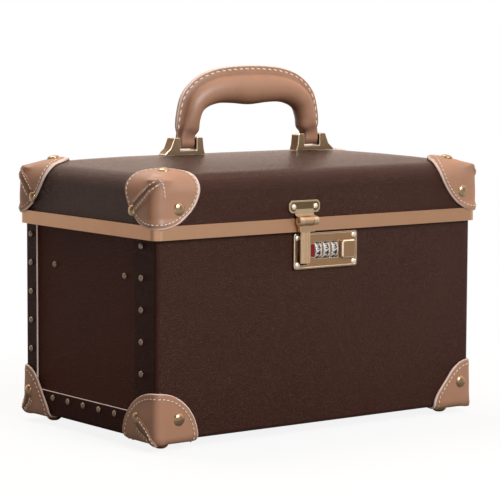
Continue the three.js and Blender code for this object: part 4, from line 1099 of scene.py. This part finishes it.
def makeLock():
    plate, rounded, steps = (lockLook[key] for key in ("plateArris", "roundArris", "roundSteps"))
    softened("lock_plate", lockGold, brassRim, plate, "case")
    softened("lock_index", red, red, lockLook["indexArris"], "case")
    softened("release_button", lockGold, brassRim, rounded, "release", steps)
    # the hasp plate's sunk field is darker than its frame
    field = (haspHigh.y - lockLook["haspFace"] - lockLook["fieldClear"]) * mm
    front = (lambda face: face.normal.y < -0.9 and face.calc_center_median().y > field, brassField)
    softened("hasp_plate", haspBrass, brassRim, plate, "lid", patch=front)
    softened("hasp_arm", armGold, brassRim, rounded, "hasp", steps)
    # the screws and rivets are in the pale rim brass: painted highlight
    screws = bmesh.new()
    inset = lockLook["screwInset"]
    face = lockLow.y + lockLook["faceDepth"]
    for x in (lockLow.x + inset, lockHigh.x - inset):
        for z in (lockLow.z + inset, lockHigh.z - inset):
            stampAll(screws, screwHead, [facing((x, face, z), (0, -1, 0), (1, 0, 0.6))])
    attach(keepPiece(screws, "lock_plate_screws", brassRim, smooth=True), "case")
    rivets = bmesh.new()
    for x in (haspLow.x + lockLook["haspRivetInset"], haspHigh.x - lockLook["haspRivetInset"]):
        spot = (x, haspHigh.y - lockLook["haspFace"], haspHigh.z - lockLook["haspRivetHeight"])
        stampAll(rivets, plateRivet, [facing(spot, (0, -1, 0))])
    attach(keepPiece(rivets, "hasp_plate_rivets", brassRim, smooth=True), "lid")


def digitMesh(digit):
    # one figure as a flat mesh, its letter form taken from a text
    text = bpy.data.curves.new("digit", "FONT")
    text.body = str(digit)
    text.align_x = "CENTER"
    text.align_y = "CENTER"
    text.size = lockLook["digitHeight"] * lockLook["digitSize"] * mm
    text.extrude = lockLook["digitProud"] * mm
    text.offset = lockLook["digitBold"] * mm
    writer = bpy.data.objects.new("digit", text)
    bpy.context.scene.collection.objects.link(writer)
    bpy.context.view_layer.update()
    mesh = bpy.data.meshes.new_from_object(writer.evaluated_get(bpy.context.evaluated_depsgraph_get()))
    bpy.data.objects.remove(writer)
    bpy.data.curves.remove(text)
    return mesh


def makeDial(number):
    low, high = boxOf(f"dial_{number}")
    middle = (low + high) / 2
    radius, half = (high.z - low.z) / 2, (high.x - low.x) / 2
    wheel = bmesh.new()
    bmesh.ops.create_circle(wheel, cap_ends=True, segments=10 * lockLook["knurls"], radius=radius)
    for vert in wheel.verts:
        turn = (math.degrees(math.atan2(vert.co.x, vert.co.y)) + land / 2) % land
        groove = lockLook["grooveDepth"] * ease(1 - abs(turn - land / 2) / lockLook["grooveHalf"])
        vert.co *= (radius - groove) / radius
    bmesh.ops.translate(wheel, verts=wheel.verts, vec=(0, 0, -half))
    side = bmesh.ops.extrude_face_region(wheel, geom=wheel.faces[:])
    moved = [item for item in side["geom"] if isinstance(item, bmesh.types.BMVert)]
    bmesh.ops.translate(wheel, verts=moved, vec=(0, 0, 2 * half))
    rims = [edge for edge in wheel.edges if abs(edge.verts[0].co.z - edge.verts[1].co.z) < 0.01]
    bmesh.ops.bevel(wheel, geom=rims, offset=lockLook["dialEdge"], affect="EDGES", segments=2, profile=0.5,
                    material=-1)
    bmesh.ops.recalc_face_normals(wheel, faces=wheel.faces)
    # the wheel was drawn lying down, its first land away from the front
    turned = Matrix.Rotation(math.radians(land / 2), 3, "Z")
    bmesh.ops.rotate(wheel, verts=wheel.verts, cent=(0, 0, 0), matrix=turned)
    stand = Matrix(((0, 0, 1), (0, -1, 0), (1, 0, 0))).to_4x4()
    stood = Matrix.Scale(mm, 4) @ Matrix.Translation(middle) @ stand
    bmesh.ops.transform(wheel, matrix=stood, verts=wheel.verts)
    bmesh.ops.recalc_face_normals(wheel, faces=wheel.faces)
    piece = keepPiece(wheel, f"dial_{number}_wheel", silver, smooth=True)
    piece.data.set_sharp_from_angle(angle=math.radians(lockLook["dialSharp"]))
    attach(piece, f"dial_{number}")
    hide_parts(f"dial_{number}")
    figures = bmesh.new()
    for digit in range(10):
        before = len(figures.verts)
        figures.from_mesh(digitMesh(digit))
        figures.verts.ensure_lookup_table()
        for level in lockLook["digitLevels"]:
            fresh = figures.verts[before:]
            geometry = fresh + list({edge for vert in fresh for edge in vert.link_edges})
            geometry += list({face for vert in fresh for face in vert.link_faces})
            bmesh.ops.bisect_plane(figures, geom=geometry, plane_co=(0, level * mm, 0), plane_no=(0, 1, 0))
            figures.verts.ensure_lookup_table()
        start = math.radians(land / 2 + land * (lockLook["frontDigit"] - digit))
        for vert in figures.verts[before:]:
            x, y, z = vert.co / mm
            angle = start + y / radius
            out = radius + z + lockLook["digitProud"] * 0.5
            away = Vector((x * lockLook["digitWide"], -out * math.cos(angle), out * math.sin(angle)))
            vert.co = (middle + away) * mm
    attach(keepPiece(figures, f"dial_{number}_figures", ink, tidy=True), f"dial_{number}")


screwHead = turnedStud([(2.4, -0.2), (2.4, 0.3), (2.05, 0.8), (1.3, 1.12), (0.5, 1.24), (0, 1.25)], 18)
plateRivet = turnedStud([(2.3, -0.2), (2.3, 0.3), (2.0, 0.85), (1.35, 1.3), (0.6, 1.48), (0, 1.5)], 18)
makeLock()
for number in (1, 2, 3):
    makeDial(number)
print("lock, hasp and dials fitted")


endLook = {
    # how far each row of tacks is from the folded edge, where it starts and where it ends
    "frontRow": 8.7, "rowStart": 51.1, "rowEnd": 150.3,
    "rearRow": 8.5, "rearStart": 52.3, "rearEnd": 147.2,
    "bottomRow": 4.8, "bottomStart": -36.6, "bottomEnd": 53.7, "rowCount": 5,
    "railRivets": (-48.6, 52.7), "railHeight": 35.1, "edgeThick": 0.3, "edgeDeep": 1.3, "edgeSink": 0.05,
    "trimArris": 0.45,
}
# how far the board is folded in over each end: at the front, at the rear and at the bottom, and how thick
flangeIn = {"front": 30.0, "rear": 17.0, "bottom": 20.0, "deep": 1.8}
# the flanges' pale cut edges glow a little: painted light where the lamps leave them in shade
paleEdge = cutHide("paleEdge", (0.86, 0.74, 0.70), (0.66, 0.55, 0.51), 0.16)


def rowOf(start, end, count):
    # heights or places at an even pitch
    return [start + (end - start) * index / (count - 1) for index in range(count)]


def studEnds():
    tacks = bmesh.new()
    for side in (-1, 1):
        face = side * bodyHigh.x
        spots = [(face, bodyLow.y + flangeIn["front"] - endLook["frontRow"], bodyLow.z + height)
                 for height in rowOf(endLook["rowStart"], endLook["rowEnd"], endLook["rowCount"])]
        spots += [(face, bodyHigh.y - endLook["rearRow"], bodyLow.z + height)
                  for height in rowOf(endLook["rearStart"], endLook["rearEnd"], endLook["rowCount"])]
        spots += [(face, middleY + y, bodyLow.z + flangeIn["bottom"] - endLook["bottomRow"])
                  for y in rowOf(endLook["bottomStart"], endLook["bottomEnd"], endLook["rowCount"])]
        spots += [(face - side * flangeIn["deep"], middleY + y, bodyHigh.z - endLook["railHeight"])
                  for y in endLook["railRivets"]]
        for spot in spots:
            stampAll(tacks, tack, [facing(spot, (side, 0, 0))])
    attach(keepPiece(tacks, "end_tacks", tackBrass, smooth=True), "case")


def bareFlangeEdges():
    # the cut board that shows along the inner edge of each folded flange
    front, rear = bodyLow.y + flangeIn["front"], bodyHigh.y - flangeIn["rear"]
    low, high = bodyLow.z + flangeIn["bottom"], bodyHigh.z
    corners = [(front, low), (rear, low), (rear, high)]
    bm = bmesh.new()
    for side in (-1, 1):
        outer = side * (bodyHigh.x - endLook["edgeSink"])
        inner = side * (bodyHigh.x - endLook["edgeDeep"])
        verts = [bm.verts.new(Vector((outer, y, z)) * mm) for y, z in corners]
        edges = [bm.edges.new(pair) for pair in zip(verts, verts[1:])]
        strip = bmesh.ops.extrude_edge_only(bm, edges=edges)
        moved = [item for item in strip["geom"] if isinstance(item, bmesh.types.BMVert)]
        bmesh.ops.translate(bm, verts=moved, vec=((inner - outer) * mm, 0, 0))
    middle = Vector((0, (front + rear) / 2, (low + high) / 2)) * mm
    bmesh.ops.recalc_face_normals(bm, faces=bm.faces)
    for face in bm.faces:
        if face.normal.dot(middle - face.calc_center_median()) < 0:
            face.normal_flip()
    bmesh.ops.solidify(bm, geom=bm.faces[:], thickness=-endLook["edgeThick"] * mm)
    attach(keepPiece(bm, "flange_cut_edges", paleEdge, tidy=True), "case")


def makeFeet():
    # a domed foot in the place of each plain one, its top against the case
    bm = bmesh.new()
    corners = ("front_left", "front_right", "rear_left", "rear_right")
    for corner in corners:
        low, high = boxOf(f"foot_{corner}")
        middle = (low + high) / 2
        stampAll(bm, footDome, [Matrix.Translation(Vector((middle.x, middle.y, low.z)) * mm)])
    # the feet's pale bronze is painted light
    feet = keepPiece(bm, "feet_domed", footBronze, smooth=True)
    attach(feet, "case")
    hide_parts(*(f"foot_{corner}" for corner in corners))


hingeLook = {"shares": (0.16, 0.5, 0.84), "arris": 0.22, "proud": 1.3, "bodyRow": 6.0, "middleUp": 6.0,
             "lidRow": 4.5}


def makeHinges():
    bodyRivets, lidRivets = bmesh.new(), bmesh.new()
    bodyFace, lidFace = bodyHigh.y + hingeLook["proud"], lidHigh.y + hingeLook["proud"]
    for side in ("left", "right"):
        softened(f"hinge_body_leaf_{side}", brass, brassRim, hingeLook["arris"], "case")
        softened(f"hinge_lid_leaf_{side}", brass, brassRim, hingeLook["arris"], "lid")
        low, high = boxOf(f"hinge_body_leaf_{side}")
        top = boxOf(f"hinge_lid_leaf_{side}")[1].z
        for share in hingeLook["shares"]:
            x = low.x + (high.x - low.x) * share
            height = low.z + hingeLook["bodyRow"] + (hingeLook["middleUp"] if share == 0.5 else 0)
            stampAll(bodyRivets, rivetHead, [facing((x, bodyFace, height), (0, 1, 0))])
            stampAll(lidRivets, rivetHead, [facing((x, lidFace, top - hingeLook["lidRow"]), (0, 1, 0))])
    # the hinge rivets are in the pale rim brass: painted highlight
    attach(keepPiece(bodyRivets, "hinge_body_rivets", brassRim, smooth=True), "case")
    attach(keepPiece(lidRivets, "hinge_lid_rivets", brassRim, smooth=True), "lid")


footDome = turnedStud(
    [(6.6, 5.4), (6.6, 4.7), (6.3, 3.5), (5.6, 2.15), (4.5, 1.05), (3.1, 0.3), (1.6, 0.03), (0, 0)], 32)
studEnds()
bareFlangeEdges()
makeFeet()
makeHinges()
# the metal edge's eased arrises are in the paler copper: painted highlight
softened("lid_valance", copper, copperRim, endLook["trimArris"], "lid")
# the wrap's end-facing flanges take the board's painted-shade copy
flanges = (lambda face: abs(face.normal.x) > 0.9, foldedBoard)
softened("body_wrap", board, board, 0, "case", patch=flanges)
print("ends studded, feet, hinges and metal edge fitted")


rollLook = {"count": 5, "columns": 40, "rows": 66, "squareness": 2.5, "gather": 9.0, "pleats": 11,
            "pleatDepth": 0.34, "puff": 0.35, "tuck": 1.1, "bunched": 0.62, "worn": 0.35, "buttonSink": 0.3,
            "endCurve": 2.6, "waves": 9, "tuckOver": 0.3, "shadeFrom": 0.9}


def rollAlong(v):
    # how far along the roll a row is, from -1 to 1, the rows closer together near the gathered ends
    along = -math.cos(v * math.pi)
    return math.copysign(abs(along) ** rollLook["bunched"], along)


def rollSpot(low, high, phase):
    # a stuffed roll lying along Y, gathered at its ends
    middle = (low + high) / 2
    halfX, halfZ, halfY = (high.x - low.x) / 2, (high.z - low.z) / 2, (high.y - low.y) / 2

    def place(u, v):
        angle = u * math.tau
        y = rollAlong(v)
        end = max(0.0, 1 - (1 - abs(y)) * halfY / rollLook["gather"])
        full = math.sqrt(max(1 - end ** rollLook["endCurve"], 0.0))
        cosine, sine = math.cos(angle), math.sin(angle)
        power = 2 / rollLook["squareness"]
        x = math.copysign(abs(cosine) ** power, cosine) * halfX * full
        z = math.copysign(abs(sine) ** power, sine) * halfZ * full
        pleat = rollLook["pleatDepth"] * math.sin(rollLook["pleats"] * angle + phase) * end * full
        wave = 0.5 + 0.5 * math.sin(y * rollLook["waves"] + phase + 2 * cosine)
        slack = rollLook["puff"] * wave * (1 - end)
        shrink = 1 - (max(pleat, 0) + slack * 0.5) / halfX
        reach = halfY - rollLook["tuck"] * bell(full, rollLook["tuckOver"])
        return middle + Vector((x * shrink, math.copysign(min(abs(y) * halfY, reach), y), z * shrink))
    return place


def rollWorn(phase):
    # painted shade: a mark that is darker between the pleats than on top
    def worn(u, v):
        start = rollLook["shadeFrom"]
        end = max(0.0, abs(rollAlong(v)) - start) / (1 - start)
        return rollLook["worn"] * end * (0.5 + 0.5 * math.sin(rollLook["pleats"] * u * math.tau + phase))
    return worn


def makeRolls():
    buttons = bmesh.new()
    for number in range(1, rollLook["count"] + 1):
        name = f"ring_roll_{number}"
        low, high = boxOf(name)
        # no two rolls are pleated alike
        phase = number * 1.7
        bm = freshGrid(rollLook["columns"], rollLook["rows"], rollSpot(low, high, phase), closed=True,
                       worn=rollWorn(phase))
        bmesh.ops.recalc_face_normals(bm, faces=bm.faces)
        roll = keepPiece(bm, name + "_stuffed", rollVelvet, smooth=True)
        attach(roll, "tray")
        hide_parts(name)
        middle = (low + high) / 2
        reach = (high.y - low.y) / 2 - rollLook["tuck"] - rollLook["buttonSink"]
        for end in (-1, 1):
            tip = (middle.x, middle.y + end * reach, middle.z)
            stampAll(buttons, rollButton, [facing(tip, (0, end, 0))])
    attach(keepPiece(buttons, "roll_end_buttons", rollVelvet, smooth=True), "tray")


insideLook = {
    "trayArris": 1.0, "dividerArris": 1.1, "wallArris": 0.6, "seamPitch": 4.2, "slant": 4.0,
    "traySeam": 3.4, "trayWall": 3.0, "trayEnd": 6.0, "frameSeam": 4.5, "frameCorner": 5.0,
    "lipSeam": 3.0, "lipCorner": 3.0,
    "piping": 1.5, "pipingInset": 11.0, "pipingCorner": 8.0, "pipingSides": 8, "pipingSink": 0.4,
    "padRise": 2.4, "padEdge": 9.0, "padPuff": 0.6, "padIn": 2.7, "padFloor": 3.1, "padGrid": (60, 36),
}


def roundedLoop(halfX, halfY, radius, middle, steps=9):
    # spots round an upright-sided box with rounded corners, each with the way out
    spots = []
    for corner, (sx, sy) in enumerate(((1, 1), (-1, 1), (-1, -1), (1, -1))):
        for step in range(steps + 1):
            angle = math.radians(90 * corner + 90 * step / steps)
            out = Vector((math.cos(angle), math.sin(angle), 0))
            spot = Vector((sx * (halfX - radius), sy * (halfY - radius), 0)) + out * radius + middle
            spots.append((spot, out))
    return spots


def pipedLoop(name, loop, radius, rider):
    # a round cord in suede, laid along a closed loop of spots
    count = len(loop)

    def place(u, v):
        spot, out = loop[int(round(u * count)) % count]
        angle = v * math.tau
        return spot + out * (math.cos(angle) * radius) + Vector((0, 0, math.sin(angle) * radius))
    bm = freshGrid(count, insideLook["pipingSides"], place, closed=True)
    bmesh.ops.recalc_face_normals(bm, faces=bm.faces)
    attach(keepPiece(bm, name, liningSuede, smooth=True), rider)


def middleAt(low, high, height):
    # the middle of a box seen from above, at a height of its own
    return Vector(((low.x + high.x) / 2, (low.y + high.y) / 2, height))


def makeTray():
    softened("tray", liningSuede, liningSuede, insideLook["trayArris"], "tray", 3)
    for name in ("divider_roll", "divider_long", "divider_cross_front", "divider_cross_rear"):
        softened(name, liningSuede, liningSuede, insideLook["dividerArris"], "tray", 3)
    low, high = boxOf("tray")
    reach, level = high.x - insideLook["trayEnd"], high.z - insideLook["traySeam"]
    threads = bmesh.new()
    for y, side in ((low.y, -1), (high.y, 1)):
        for face, normal in ((y, side), (y - side * insideLook["trayWall"], -side)):
            line = [(Vector((x, face, level)), Vector((0, normal, 0))) for x in (-reach, 0.0, reach)]
            sewAlong(threads, line, insideLook["seamPitch"], slant=insideLook["slant"])
    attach(keepPiece(threads, "tray_stitching", thread, smooth=True), "tray")
    for side in ("left", "right"):
        softened(f"tray_rail_{side}", liningSuede, liningSuede, insideLook["wallArris"], "case")


def makeMirror():
    softened("mirror_frame", hide, rawEdge, insideLook["wallArris"], "lid")
    low, high = boxOf("mirror_frame")
    inset = insideLook["frameSeam"]
    threads = bmesh.new()
    loop = roundedLoop((high.x - low.x) / 2 - inset, (high.y - low.y) / 2 - inset, insideLook["frameCorner"],
                       middleAt(low, high, low.z))
    sewAlong(threads, [(spot, Vector((0, 0, -1))) for spot, _ in loop], insideLook["seamPitch"], closed=True)
    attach(keepPiece(threads, "mirror_stitching", thread, smooth=True), "lid")


def makeFloorPad(low, high):
    # a soft pad on the floor of the case, crowned in the middle
    wide = (high.x - low.x) / 2 - insideLook["padIn"]
    deep = (high.y - low.y) / 2 - insideLook["padIn"]
    middle = middleAt(low, high, low.z + insideLook["padFloor"])

    def padSpot(u, v):
        x, y = (2 * u - 1) * wide, (2 * v - 1) * deep
        edge = min(wide - abs(x), deep - abs(y))
        rise = insideLook["padRise"] * ease(min(edge / insideLook["padEdge"], 1)) ** 0.5
        puff = insideLook["padPuff"] * math.cos(x / wide * math.pi / 2) * math.cos(y / deep * math.pi / 2)
        return middle + Vector((x, y, rise + puff))
    bm = freshGrid(*insideLook["padGrid"], padSpot)
    bmesh.ops.recalc_face_normals(bm, faces=bm.faces)
    if bm.faces[0].normal.z < 0:
        bmesh.ops.reverse_faces(bm, faces=bm.faces)
    pad = keepPiece(bm, "floor_pad", liningSuede, smooth=True)
    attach(pad, "case")


def makeLinings():
    softened("lid_shell", board, board, 0, "lid")
    softened("lid_lining", liningSuede, liningSuede, 0, "lid")
    softened("body_lining", liningSuede, liningSuede, insideLook["wallArris"], "case")
    low, high = boxOf("body_lining")
    threads = bmesh.new()
    loop = roundedLoop((high.x - low.x) / 2, (high.y - low.y) / 2, insideLook["lipCorner"],
                       middleAt(low, high, high.z - insideLook["lipSeam"]))
    sewAlong(threads, loop, insideLook["seamPitch"], closed=True)
    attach(keepPiece(threads, "lining_lip_stitching", thread, smooth=True), "case")
    makeFloorPad(low, high)
    # piping where the lid's ceiling meets its sides
    low, high = boxOf("lid_lining")
    inset, cord = insideLook["pipingInset"], insideLook["piping"]
    ceiling = boxOf("mirror_frame")[1].z - cord * insideLook["pipingSink"]
    loop = roundedLoop((high.x - low.x) / 2 - inset, (high.y - low.y) / 2 - inset, insideLook["pipingCorner"],
                       middleAt(low, high, ceiling))
    pipedLoop("lid_ceiling_piping", loop, cord, "lid")


rollButton = turnedStud([(2.4, -0.5), (2.4, 0.1), (2.0, 0.55), (1.1, 0.85), (0, 0.95)], 14)
makeRolls()
makeTray()
makeMirror()
makeLinings()
print("tray, rolls, mirror and linings fitted")
